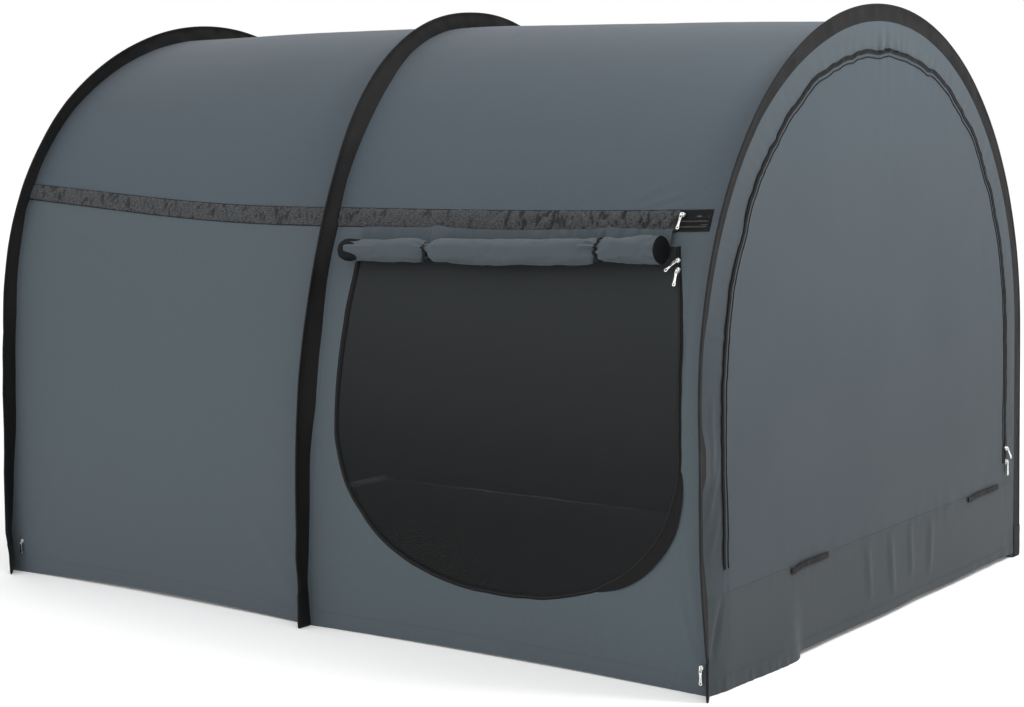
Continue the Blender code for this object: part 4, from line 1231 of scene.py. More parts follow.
@dataclass
class Window:
    """A side window: its net, the zip round it and its cover, rolled up above it and tied."""

    bay: Bay
    wardrobe: Wardrobe
    repeater: Repeater
    back_x: float = 0.037
    front_x: float = 0.939
    top: float = 0.884
    bottom: float = 0.140
    spring: float = 0.500
    power: float = 2.3
    lean: float = 0.039  # how far the front edge leans back at the top
    lean_from: float = 0.650
    back_swell: float = 0.014  # how far the back edge bows back at mid-height
    roll_radius: float = 0.0300
    roll_back_x: float = 0.034
    roll_front_x: float = 0.885
    roll_back_z: float = 0.834
    roll_front_z: float = 0.868
    roll_pitch: float = 0.0026
    tie_xs: Point = (0.264, 0.733)
    outline_steps: int = 420

    @property
    def middle(self) -> float:
        """The window's middle along the bed."""
        return (self.back_x + self.front_x) / 2

    @property
    def half(self) -> float:
        """Half the window's width."""
        return (self.front_x - self.back_x) / 2

    @property
    def area(self) -> float:
        """The window's flat area, in square metres."""
        outline = self.outline(0.0)
        x, z = outline[:, 0], outline[:, 1]
        return float(abs(np.sum(x * np.roll(z, -1) - z * np.roll(x, -1))) / 2)

    def outline(self, margin: float) -> Array:
        """The window's edge as (x, z), this far inside, from its front top round the bottom to its back."""
        half, depth = self.half - margin, self.spring - self.bottom - margin
        angles = np.linspace(0.0, math.pi, 160)
        x, z = signed_power(np.cos(angles), 2 / self.power), np.abs(np.sin(angles)) ** (2 / self.power)
        arch = np.column_stack([self.middle + half * x, self.spring - depth * z])
        top = self.top - margin
        points = np.concatenate([[[self.middle + half, top]], arch, [[self.middle - half, top]]])
        points = resample(points, self.outline_steps)
        points[:, 0] -= self.leaning(points[:, 0], points[:, 1])
        return points

    def leaning(self, x: Array, z: Array) -> Array:
        """How far the leaning front edge and the bowed back edge move a point back."""
        high = np.maximum(z - self.lean_from, 0.0) / (self.top - self.lean_from)
        swell = np.sin(math.pi * np.clip((self.top - z) / 0.62, 0.0, 1.0))
        forwards = (x - self.middle) / (0.8 * self.half)
        return self.lean * high**2 * ease(forwards) + self.back_swell * swell * ease(-forwards)

    def front_edge(self, z: float) -> float:
        """The place along the bed of the front edge at this height."""
        return self.front_x - self.lean * (max(z - self.lean_from, 0.0) / (self.top - self.lean_from)) ** 2

    def contains(self, x: Array, z: Array, margin: float) -> Array:
        """Whether these points of the wall lie inside the window's edge."""
        half, depth = self.half - margin, self.spring - self.bottom - margin
        x = x + self.leaning(x, z)
        across, down = np.abs(x - self.middle) / half, np.maximum(self.spring - z, 0.0) / depth
        return (z < self.top - margin) & (across**self.power + down**self.power < 1.0)

    def trim(
        self, side: Side, u: Array, t: Array, quads: Array, inside: bool, margin: float
    ) -> tuple[Array, Array, Array]:
        """Drops the faces on one side of the window's edge, and draws the rest up to it.

        Args:
            side: Which side wall.
            u: Places along the bay.
            t: Places round the hoops.
            quads: The grid's faces.
            inside: Whether the faces inside the edge are the ones to keep.
            margin: How far inside the edge to cut.

        Returns:
            The moved u and t, and the faces that are kept.
        """
        place = self.bay.hung(u, t)[0].reshape(-1, 3)
        centre = place[quads].mean(axis=1)
        within = self.contains(centre[:, 0], centre[:, 2], margin)
        kept, dropped = quads[within == inside], quads[within != inside]
        border = np.intersect1d(kept, dropped)
        edge = self.outline(margin)
        closed = np.concatenate([edge, resample(edge[[-1, 0]], 80)])
        gap = place[border][:, None, [0, 2]] - closed[None]
        nearest = closed[np.argmin((gap**2).sum(-1), axis=1)]
        new_u, new_t = self.bay.wall_place(side, nearest[:, 0], nearest[:, 1])
        flat_u, flat_t = u.ravel().copy(), t.ravel().copy()
        flat_u[border], flat_t[border] = new_u, new_t
        return flat_u, flat_t, kept

    def make_net(self, side: Side) -> Thing:
        """The net, held taut in the window."""
        u, t = np.meshgrid(np.linspace(0.04, 0.985, 84), side.round(np.linspace(0.02, EAVE_T, 78)))
        u, t, quads = self.trim(side, u, t, grid_quads(*u.shape), inside=True, margin=-0.003)
        place, normal = self.bay.spot(u, t)
        x, z = place[..., 0], place[..., 2]
        slack = 0.0012 * Ripple(90).at(x / 0.30, z / 0.22)
        place = place + (slack - 0.0014)[..., None] * normal
        net = skin(f"window_net_{side.value}", place, place - 0.0006 * normal, stacked(x, z), quads)
        finish_piece(net, self.wardrobe.net, stands_for=[f"window_mesh_{side.value}"])
        self.area
        return net

    def strip(self, side: Side, low: Array, high: Array, lifts: Sequence[float]) -> tuple[Array, ...]:
        """A strip that follows the window's edge on the wall.

        Args:
            side: Which side wall.
            low: How far outside the edge the strip starts, at each step.
            high: How far inside it the strip ends.
            lifts: Height over the wall at even places across.

        Returns:
            The points, the wall's normals, and the flat places.
        """
        edge = self.outline(0.0)
        inward = inward_of(edge, (self.middle, 0.55))
        share = np.linspace(0.0, 1.0, len(lifts))
        offset = low[:, None] * (1 - share) + high[:, None] * share
        flat = edge[:, None] + offset[..., None] * inward[:, None]
        place, normal = self.bay.wall_spot(side, flat[..., 0], flat[..., 1])
        uv = stacked(path_length(edge)[:, None], offset)
        return place + np.asarray(lifts)[None, :, None] * normal, normal, uv

    def make_zip(self, side: Side) -> list[Thing]:
        """The zip round the window: its tape, which folds out as a flap at a lower corner, and its coil."""
        count = self.outline_steps
        steps = np.arange(count) / (count - 1)
        flap = 0.026 * np.maximum(1 - ((steps - 0.295) / 0.085) ** 2, 0.0) ** 0.8
        wide = 0.0018 * ease((steps - 0.80) / 0.08)
        wobble = 0.0012 * Ripple(95).at(steps * 60, 0.0)
        low, high = -0.0055 - wide - flap + wobble, 0.0045 + wide + wobble
        lifts = (0.0004, 0.0012, 0.0018, 0.0012, 0.0021, 0.0025, 0.0014, 0.0006)
        place, normal, uv = self.strip(side, low, high, lifts)
        curl = 0.0045 * (flap / 0.026)[:, None] * np.linspace(1.0, 0.0, len(lifts))[None, :] ** 2
        curl = curl * (0.75 + 0.25 * Ripple(96).at(steps * 40, 0.0))[:, None]
        place = place + curl[..., None] * normal
        tape = skin(f"window_zip_tape_{side.value}", place, place - 0.0007 * normal, uv)
        finish_piece(tape, self.wardrobe.tape, stands_for=[f"window_zip_{side.value}"])
        line, normal, _ = self.strip(side, wobble, wobble, (0.0026, 0.0026))
        lines = [(line[:, 0], normal[:, 0])]
        coil = self.repeater.make(f"window_zip_coil_{side.value}", lines, self.wardrobe.coil, "zip_tape")
        return [tape, coil]

    def axis(self, side: Side, x: Array) -> tuple[Array, Array, Array]:
        """The middle of the rolled cover at these places, the wall's normal and the way up there."""
        share = (x - self.roll_back_x) / (self.roll_front_x - self.roll_back_x)
        z = self.roll_back_z + (self.roll_front_z - self.roll_back_z) * share
        z = z - 0.004 * np.sin(math.pi * np.clip((x - self.tie_xs[0]) / np.ptp(self.tie_xs), 0, 1))
        place, normal = self.bay.wall_spot(side, x, z, 0.0032 + self.roll_radius)
        forward = unit(np.gradient(place, axis=0))
        up = np.cross(forward, normal)
        return place, normal, up * np.sign(up[:, 2:3])

    def pinch(self, x: Array) -> Array:
        """How much the ties draw the roll in, as a share of its radius, at these places."""
        first, second = (np.abs(x - tie) for tie in self.tie_xs)
        taper = 1 - 0.10 * ease((0.30 - x) / 0.25)
        return taper - 0.36 * np.exp(-((first / 0.016) ** 2)) - 0.28 * np.exp(-((second / 0.010) ** 2))

    def dents(self, x: Array, angle: Array, seed: int) -> Array:
        """How far the roll's surface stands in or out, in metres, the same for every turn."""
        near = sum(np.exp(-np.abs(x - tie) / 0.035) for tie in self.tie_xs)
        round_x, round_y = 1.3 * np.cos(angle), 1.3 * np.sin(angle)
        slow = Ripple(seed).at(x / 0.09 + round_x, 7 + round_y)
        creases = Ripple(seed + 1).at(x / 0.05 + 2.4 * round_x, 5 + 2.4 * round_y)
        facets = 1 - np.abs(Ripple(seed + 2).at(x / 0.055 + 1.4 * round_x, 3 + 1.4 * round_y)) * 1.6
        wrinkles = 1 - np.abs(Ripple(seed + 3).at(x / 0.030 - 2.0 * round_x, 9 + 2.4 * round_y)) * 1.8
        facets = np.maximum(facets, 0.0) ** 2 + 0.5 * np.maximum(wrinkles, 0.0) ** 3 * (0.4 + near)
        sharper = 0.5 + 0.5 * ease((x - 0.62) / 0.1)
        return 0.0034 * slow + 0.0070 * near * creases - 0.0068 * facets * sharper

    def make_cover(self, side: Side) -> Thing:
        """The cover: one sheet wound into a roll, its top edge going up under the band."""
        turns, per_turn, columns = 6.4, 24, 132
        seed = self.roll_seed(side)
        angle = np.linspace(0.0, turns * TAU, int(turns * per_turn))
        radius = self.roll_radius - self.roll_pitch * angle / (TAU)
        length = np.concatenate([[0.0], np.cumsum(radius[:-1] * np.diff(angle))])
        flap = np.linspace(0.050, 0.004, 12)
        down = np.concatenate([flap[0] - flap, flap[0] + length])
        straight = self.top - self.spring
        below = np.clip((down - straight) / (down[-1] - straight + 0.004), 0.0, 1.0)
        half = (self.roll_front_x - self.roll_back_x) / 2
        wide = half * (1 - below**self.power) ** (1 / self.power)
        wide[: len(flap)] = half
        middle = (self.roll_front_x + self.roll_back_x) / 2
        across = 2 * graded(columns, 0.25) - 1
        x = middle + wide[:, None] * across[None, :]
        axis_x = np.linspace(self.roll_back_x - 0.02, self.roll_front_x + 0.02, 120)
        centre, out, up = self.axis(side, axis_x)

        def carried(values: Array) -> Array:
            """Values along the axis, carried to every point of the sheet."""
            return np.stack([np.interp(x, axis_x, values[:, k]) for k in range(3)], -1)

        centre, out, up = carried(centre), unit(carried(out)), unit(carried(up))
        turn = np.concatenate([np.zeros(len(flap)), angle])[:, None]
        size = np.concatenate([np.full(len(flap), self.roll_radius), radius])[:, None]
        dents = self.dents(x, turn, seed)
        gap = (size - 0.006) / (self.roll_radius - 0.006)
        size = size * self.pinch(x) + dents * gap
        along = (x - self.roll_back_x) / (self.roll_front_x - self.roll_back_x)
        rise = np.concatenate([flap, np.zeros(len(angle))])[:, None] * (1.24 - 0.20 * along)
        gathers = 0.0075 * np.maximum(Ripple(seed + 5).at(x / 0.010, rise / 0.06), -0.2) * ease(rise / 0.010)
        lively = 0.30 + 0.70 * ease((x - 0.50) / 0.15)
        out_move = -size * np.cos(turn) + lively * gathers * ease((0.062 - rise) / 0.02)
        out_move = np.where(rise > 0, np.maximum(out_move, -self.roll_radius - 0.0012), out_move)
        up_move = -size * np.sin(turn) + rise
        place = centre + out_move[..., None] * out + up_move[..., None] * up
        normal = unit(np.cross(np.gradient(place, axis=1), np.gradient(place, axis=0)))
        outwards = -np.cos(turn)[..., None] * out - np.sin(turn)[..., None] * up
        normal *= np.sign((normal * outwards).sum(-1, keepdims=True))
        uv = stacked(x, down[:, None])
        cover = skin(f"rolled_cover_{side.value}", place, place - 0.0008 * normal, uv)
        node = f"window_cover_{side.value}"
        finish_piece(cover, self.wardrobe.cover, stands_for=[node])
        return cover

    def roll_seed(self, side: Side) -> int:
        """The seed of the roll's dents, which its ties follow."""
        return 110 if side is Side.LEFT else 130

    def make_hollow(self, side: Side) -> Thing:
        """The black lining that shows in the roll's open front end."""
        profile = [(-0.0095, 0.0004), (-0.0085, 0.0140), (-0.0040, 0.0236)]
        profile += [(0.0002, 0.0262), (0.0010, 0.0276), (0.0004, 0.0284)]
        return self.turned(f"roll_hollow_{side.value}", side, self.roll_front_x, profile, 0.0007)

    def turned(self, name: str, side: Side, start_x: float, profile: list[Point], rough: float) -> Thing:
        """A closed form turned round the roll's middle line.

        Args:
            name: The piece's name.
            side: Which side of the tent.
            start_x: Where the profile is measured from.
            profile: Distances along the bed and radii.
            rough: How uneven the radii are.

        Returns:
            The finished piece.
        """
        xs, sizes = start_x + np.array(profile)[:, 0], np.array(profile)[:, 1]
        axis_x = np.linspace(xs.min() - 0.01, xs.max() + 0.01, 20)
        centre, out, up = self.axis(side, axis_x)
        angles = ring_angles(40)
        rings = []
        for place, size in zip(xs, sizes):
            middle, outwards, upwards = (
                np.array([np.interp(place, axis_x, column) for column in values.T])
                for values in (centre, out, up)
            )
            radius = size + rough * Ripple(150).at(3 + 2 * np.cos(angles), 2 * np.sin(angles) + 9 * place)
            around = np.cos(angles)[:, None] * outwards + np.sin(angles)[:, None] * upwards
            rings.append(middle + radius[:, None] * around)
        made = swept(name, np.array(rings), xs)
        return finish_piece(made, self.wardrobe.lining)

    def make_cuff(self, side: Side) -> Thing:
        """The dark edging that stands out of the roll's back end."""
        profile = [(-0.031, 0.0060), (-0.029, 0.0145), (-0.022, 0.0212), (-0.012, 0.0252)]
        profile += [(0.000, 0.0262), (0.012, 0.0250), (0.030, 0.0235)]
        return self.turned(f"roll_cuff_{side.value}", side, self.roll_back_x, profile, 0.0012)

    def make_tie(self, side: Side, number: int) -> Thing:
        """A tie: tape drawn round the roll, knotted below it, its two ends hanging."""
        x = self.tie_xs[number - 1]
        half, thick = (0.0050, 0.0008) if number == 1 else (0.0032, 0.0009)
        angles = np.linspace(0.0, TAU, 61)
        section = [(-half, 0.0), (half, 0.0), (half, thick), (-half, thick)]
        axis_x = np.linspace(x - 0.05, x + 0.05, 21)
        centre, out, up = self.axis(side, axis_x)
        middle, outwards, upwards = centre[10], out[10], unit(up[10])
        along = unit(centre[11] - centre[9])
        here = np.array([x])
        size = self.roll_radius * self.pinch(here) + self.dents(here, angles, self.roll_seed(side)) + 0.0012
        lean = (0.011 if number == 1 else 0.003) * np.sin(angles + 0.7)
        rings = []
        for angle, radius, slide in zip(angles, size, lean):
            away = -math.cos(angle) * outwards - math.sin(angle) * upwards
            rings.append([middle + (slide + a) * along + (radius + b) * away for a, b in section])
        foot = middle + (size.mean() + 0.003) * unit(0.75 * outwards - 0.66 * upwards) + 0.002 * along
        knot = self._lump("knot", foot, np.array([along, outwards, -upwards]), (0.0055, 0.0045, 0.0050))
        parts = [swept("band", np.array(rings), size.mean() * angles), knot]
        for sway, drop in ((-0.006, 0.022), (0.005, 0.016)):
            share = np.linspace(0.0, 1.0, 9)
            path = foot + share[:, None] * np.array([0.0, 0.0, -drop])
            path = path + (sway * share**1.5)[:, None] * along
            path = path + (0.003 * np.sin(3 * share))[:, None] * outwards
            width = (0.0030 if number == 2 else 0.0042) * (1 - 0.25 * share)
            corners = ((-1, 0), (0, -1), (1, 0), (0, 1))
            ring = [path + a * width[:, None] * along + b * 0.0009 * outwards for a, b in corners]
            parts.append(swept("tail", np.stack(ring, axis=1), share * drop))
        tie = joined(f"roll_tie_{side.value}_{number}", parts)
        node = f"cover_tie_{side.value}_{number}"
        return finish_piece(tie, self.wardrobe.tie, stands_for=[node])

    def _lump(self, name: str, centre: Array, axes: Array, size: tuple[float, ...]) -> Thing:
        """A knot's closed, uneven ball."""
        rows, columns = 10, 14
        polar = np.linspace(0.06, math.pi - 0.06, rows)
        p, a = np.meshgrid(polar, ring_angles(columns), indexing="ij")
        ball = np.stack([np.cos(p), np.sin(p) * np.cos(a), np.sin(p) * np.sin(a)], -1)
        rough = 1 + 0.22 * Ripple(171).at(2 + 1.6 * ball[..., 0] + ball[..., 1], 3 + 1.6 * ball[..., 2])
        points = centre + (ball * rough[..., None] * np.array(size)) @ axes
        return swept(name, points, polar * size[0])


# End walls.


@dataclass
class EndWall:
    """One end of the tent: an arched door, the surround between it and the sleeve, and the skirt below."""

    end: End
    hoop: Hoop
    wardrobe: Wardrobe
    repeater: Repeater
    half: float = 0.668
    bottom: float = 0.200
    spring: float = 0.550
    top: float = 1.263
    power: float = 2.1
    hem: float = 0.034
    zip_from: float = 0.245  # the zip ends at this height, above the sill
    hem_step: float = -0.37  # the hem is let down on this side of the step
    folds: tuple[Fold, ...] = (
        Fold((-0.702, 0.42), (-0.697, 0.60), 0.0040, 0.0055),
        Fold((-0.716, 0.33), (-0.682, 0.47), 0.0040, 0.0060),
        Fold((-0.712, 0.26), (-0.676, 0.39), 0.0030, 0.0060),
        Fold((-0.678, 0.195), (-0.716, 0.06), -0.0060, 0.0070),
        Fold((-0.060, 0.19), (-0.048, 0.05), 0.0040, 0.0090),
        Fold((0.050, 0.19), (0.064, 0.04), 0.0045, 0.0100),
        Fold((0.150, 0.19), (0.158, 0.06), 0.0040, 0.0090),
        Fold((0.262, 0.19), (0.250, 0.05), 0.0040, 0.0100),
    )
    plane: float = field(init=False)

    def __post_init__(self) -> None:
        """Finds the plane that the cloth hangs in."""
        low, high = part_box(f"door_{self.end.value}")
        self.plane = (low.x + high.x) / 2 + 0.0005 * self.end.sign
        self.swell = Relief(201 if self.end is End.FRONT else 221, swell=0.0022, folds=self.folds)
        self.zip_pucker = Pucker(203, pitch=0.026, reach=0.035, height=0.0022)
        self.seam_pucker = Pucker(206, pitch=0.030, reach=0.030, height=0.0016)
        self.sill_pucker = Pucker(209, pitch=0.020, reach=0.028, height=0.0022)

    @property
    def out(self) -> Array:
        """The direction out of the tent at this end."""
        return ALONG * self.end.sign

    def door_edge(self, margin: float, count: int) -> Array:
        """The door's arch as (y, z), this far inside its edge, from its left foot to its right foot."""
        half, rise = self.half - margin, self.top - self.spring - margin
        angles = np.linspace(math.pi, 0.0, 240)
        y, z = signed_power(np.cos(angles), 2 / self.power), np.abs(np.sin(angles)) ** (2 / self.power)
        arch = np.column_stack([half * y, self.spring + rise * z])
        points = np.concatenate([[[-half, self.bottom]], arch, [[half, self.bottom]]])
        return resample(points, count)

    def seam_y(self, z: Array) -> Array:
        """Half the width between the sleeve's seams at these heights."""
        return -np.interp(z, self.hoop.line_z, self.hoop.line_y)

    def seam_t(self, y: Array, z: Array) -> Array:
        """The place round the hoop of the seam nearest to a point, on its own side."""
        length = np.interp(np.clip(z, 0.0, self.hoop.line_z[-1]), self.hoop.line_z, self.hoop.length)
        low = EAVE_T * length / self.hoop.eave_length
        share = (length - self.hoop.eave_length) / (self.hoop.length[-1] - self.hoop.eave_length)
        half = np.where(length <= self.hoop.eave_length, low, EAVE_T + (0.5 - EAVE_T) * share)
        return np.where(y > 0, 1 - half, half)

    def relief(self, y: Array, z: Array, share: Array) -> Array:
        """How far the cloth stands out of its plane.

        Args:
            y: Places across the bed.
            z: Heights.
            share: How far each place lies from the door's edge towards the sleeve, from 0 to 1.

        Returns:
            The distance outwards, in metres.
        """
        rise = self.top - self.spring
        up = np.maximum(z - self.spring, 0.0) / rise
        round_share = ((np.abs(y) / self.half) ** self.power + up**self.power) ** (1 / self.power)
        edge = (round_share - 1) * np.where(z > self.spring, 0.70, self.half)
        along = np.where(z > self.spring, self.spring + 0.7 * np.arctan2(z - self.spring, np.abs(y)), z)
        along = along + 7 * (y > 0)
        sill = z - self.bottom
        lift = self.swell.at(y, z) * ease(0.3 + np.abs(edge) / 0.03)
        beside = np.abs(edge) + np.maximum(-sill, 0.0)
        gathered = np.exp(-(((y - 0.03) / 0.13) ** 2)) * ease((z - 1.1) / 0.1) * (edge > 0)
        top_gather = (0.5 + 0.5 * (edge > 0)) + 2.2 * gathered
        lift = lift + top_gather * self.zip_pucker.relief(along, beside) * ease(0.2 + beside / 0.004)
        lift = lift + self.seam_pucker.relief(along + 3, (1 - share) * 0.055) * ease((1 - share) / 0.1)
        lift = lift + self.sill_pucker.relief(y, np.abs(sill)) * ease(0.15 + np.abs(sill) / 0.004)
        belly = np.exp(-(((y + 0.42) / 0.16) ** 2)) * ease((self.bottom - z) / self.bottom) ** 1.5
        if self.end is End.FRONT:
            lift = lift + 0.013 * belly * ease((self.hem_step + 0.02 - y) / 0.06)
        pleats = Ripple(212).at(y / 0.012, z / 0.05) * ease((self.hem - z) / 0.01)
        lift = lift + 0.0011 * pleats * ease((np.abs(y) - 0.25) / 0.2)
        hem = ease((self.hem - z) / 0.0025)
        pulled = ease(0.1 + (1 - share) * 2)
        return lift * pulled + 0.0007 * hem

    def spot(self, y: Array, z: Array, share: Array, lift: float = 0.0) -> Array:
        """A point of the cloth's outer face, lifted this much."""
        pull = share * self.hoop.shift(self.seam_t(y, z))
        x = self.plane + pull + self.end.sign * (self.relief(y, z, share) + lift)
        return stacked(x, y, z)

    def cloth(self, node: str, y: Array, z: Array, share: Array, material: Material) -> Thing:
        """A sheet of the end wall on a grid of places, which stands for this node."""
        outer = self.spot(y, z, share)
        name = "cloth_" + node.removeprefix("end_")
        made = skin(name, outer, outer - CLOTH * self.out, stacked(y, z))
        return finish_piece(made, material, stands_for=[node])

    def surround_grid(self, count: int, across: int) -> tuple[Array, Array, Array]:
        """Places of the surround: y, z and the share from the zip to the sleeve."""
        t_foot = self.hoop.t_from_foot(self.bottom)
        inside = self.door_edge(0.0, count)
        seam, _ = self.hoop.point(np.linspace(t_foot, 1 - t_foot, 600))
        outside = resample(seam[:, 1:], count)
        share = graded(across, 0.3)[:, None]
        y = inside[None, :, 0] * (1 - share) + outside[None, :, 0] * share
        z = inside[None, :, 1] * (1 - share) + outside[None, :, 1] * share
        return y, z, np.broadcast_to(share, y.shape)

    def make_surround(self) -> Thing:
        """The arch of cloth between the door's zip and the sleeve."""
        y, z, share = self.surround_grid(480, 16)
        surround = self.cloth(f"end_surround_{self.end.value}", y, z, share, self.wardrobe.surround)
        return surround

    def make_door(self) -> Thing:
        """The door's cloth, zipped shut."""
        angles = np.linspace(0.0, 1.0, 96) ** 0.9 * (math.pi / 2 - 0.004)
        arch_z = self.spring + (self.top - self.spring) * np.sin(angles) ** (2 / self.power)
        arch_y = self.half * np.cos(angles) ** (2 / self.power)
        leg_z = np.linspace(self.bottom + 0.0005, self.spring, 44, endpoint=False)
        z = np.concatenate([leg_z, arch_z])
        wide = np.concatenate([np.full(len(leg_z), self.half), arch_y])
        across = 2 * graded(126, 0.35) - 1
        y = wide[:, None] * across[None, :]
        z = np.broadcast_to(z[:, None], y.shape)
        door = self.cloth(f"door_{self.end.value}", y, z, np.zeros_like(y), self.wardrobe.door)
        return door

    def skirt_bottom(self, y: Array) -> Array:
        """The height of the skirt's lower edge: let down beside one foot, and a little up along the rest."""
        return np.where(y < self.hem_step, 0.0006, 0.012 + 0.0015 * Ripple(214).at(y / 0.09, 0.0))

    def make_skirt(self) -> Thing:
        """The strip of cloth from the door's sill to the floor, with its hem."""
        reach = self.seam_y(np.array([0.1]))[0]
        y_left = np.linspace(-reach, self.hem_step, 74)
        y_line = np.concatenate([y_left, np.linspace(self.hem_step + 0.004, reach, 118)])
        rows = np.concatenate([np.linspace(0.0, 0.19, 12), np.linspace(0.24, 1.0, 30)])
        bottom = self.skirt_bottom(y_line)
        z = bottom[None, :] + rows[:, None] * (self.bottom - bottom)[None, :]
        y = y_line[None, :] * (self.seam_y(z) / reach)
        share = np.clip((np.abs(y) - self.half) / (self.seam_y(z) - self.half), 0.0, 1.0)
        skirt = self.cloth(f"skirt_{self.end.value}", y, z, share, self.wardrobe.skirt)
        return skirt

    def make_zip(self) -> list[Thing]:
        """The zip round the door: a tape with piped edges, and its coil."""
        edge = self.door_edge(0.0, 480)
        inward, length = inward_of(edge, (0.0, 0.6)), path_length(edge)
        kept = edge[:, 1] >= self.zip_from
        edge, inward, length = edge[kept], inward[kept], length[kept]
        arch = ease((edge[:, 1] - 0.75) / 0.2)
        wobble = (0.0012 + 0.0030 * arch) * Ripple(216).at(length / 0.060, 0.0)
        wobble = wobble + (0.0006 + 0.0012 * arch) * Ripple(217).at(length / 0.022, 0.0)
        inner_tape = np.array([(-8.0, 0.4), (-7.0, 2.1), (-5.0, 1.2), (-2.8, 1.8), (-0.6, 1.8), (1.2, 0.4)])
        outer_tape = np.array([(8.0, 0.3), (8.6, 1.6), (10.0, 1.6), (10.6, 0.3)])
        parts = []
        for profile in (inner_tape, outer_tape):
            offsets, lifts = profile.T / 1000
            flat = edge[:, None] + (offsets[None, :] + wobble[:, None])[..., None] * inward[:, None]
            place = self.spot(flat[..., 0], flat[..., 1], np.zeros(flat.shape[:2]))
            outer = place + lifts[None, :, None] * self.out
            uv = stacked(length[:, None], offsets[None, :])
            parts.append(skin("tape", outer, outer - 0.0009 * self.out, uv))
        tape = joined(f"door_zip_tape_{self.end.value}", parts)
        node = f"door_zip_{self.end.value}"
        finish_piece(tape, self.wardrobe.tape, stands_for=[node])
        middle = edge + wobble[:, None] * inward
        line = self.spot(middle[:, 0], middle[:, 1], np.zeros(len(edge)), 0.0020)
        lines = [(line, np.broadcast_to(self.out, line.shape))]
        coarse = {"spacing": 0.0028, "size": (0.0018, 0.0040, 0.0014)}
        name = f"door_zip_coil_{self.end.value}"
        coil = self.repeater.make(name, lines, self.wardrobe.coil, "zip_tape", **coarse)
        return [tape, coil]

    def make_loops(self) -> Thing:
        """The two black tapes at the door's sill that hold the door when it is rolled down."""
        parts = []
        for start, stop, sag in ((-0.405, -0.245, 0.006), (0.455, 0.625, 0.004)):
            y = np.linspace(start, stop, 25)
            share = np.linspace(0.0, 1.0, 25)
            z = self.bottom - 0.004 - sag * np.exp(-(((share - 0.08) / 0.12) ** 2))
            centre = self.spot(y, z, np.zeros_like(y), 0.0035)
            size = [(-0.6, -6.5), (1.2, -6.0), (1.4, 0.0), (1.2, 6.0), (-0.6, 6.5)]
            ring = np.stack([centre + a / 1000 * self.out + b / 1000 * UP for a, b in size], axis=1)
            parts.append(swept("loop", ring, share * (stop - start)))
        loops = joined(f"door_loops_{self.end.value}", parts)
        return finish_piece(loops, self.wardrobe.tie)

    def seam_lines(self) -> list[tuple[Array, Array]]:
        """Lines of stitches along the hem, the sill and both sides of the zip."""
        rows = []
        reach = self.seam_y(np.array([self.hem]))[0] - 0.004
        for z_line in (self.hem - 0.002, self.bottom - 0.009, self.bottom + 0.006):
            y = np.linspace(-reach, reach, 420) if z_line < self.bottom else np.linspace(-0.655, 0.655, 420)
            share = np.clip((np.abs(y) - self.half) / (reach - self.half), 0.0, 1.0)
            rows.append(self.spot(y, np.full_like(y, z_line), share, THREAD_LIFT))
        for margin in (-0.009, 0.009):
            edge = self.door_edge(margin, 460)
            share = np.full(len(edge), 0.15 if margin < 0 else 0.0)
            rows.append(self.spot(edge[:, 0], edge[:, 1], share, THREAD_LIFT))
        return [(row, np.broadcast_to(self.out, row.shape)) for row in rows]


# Sleeves.


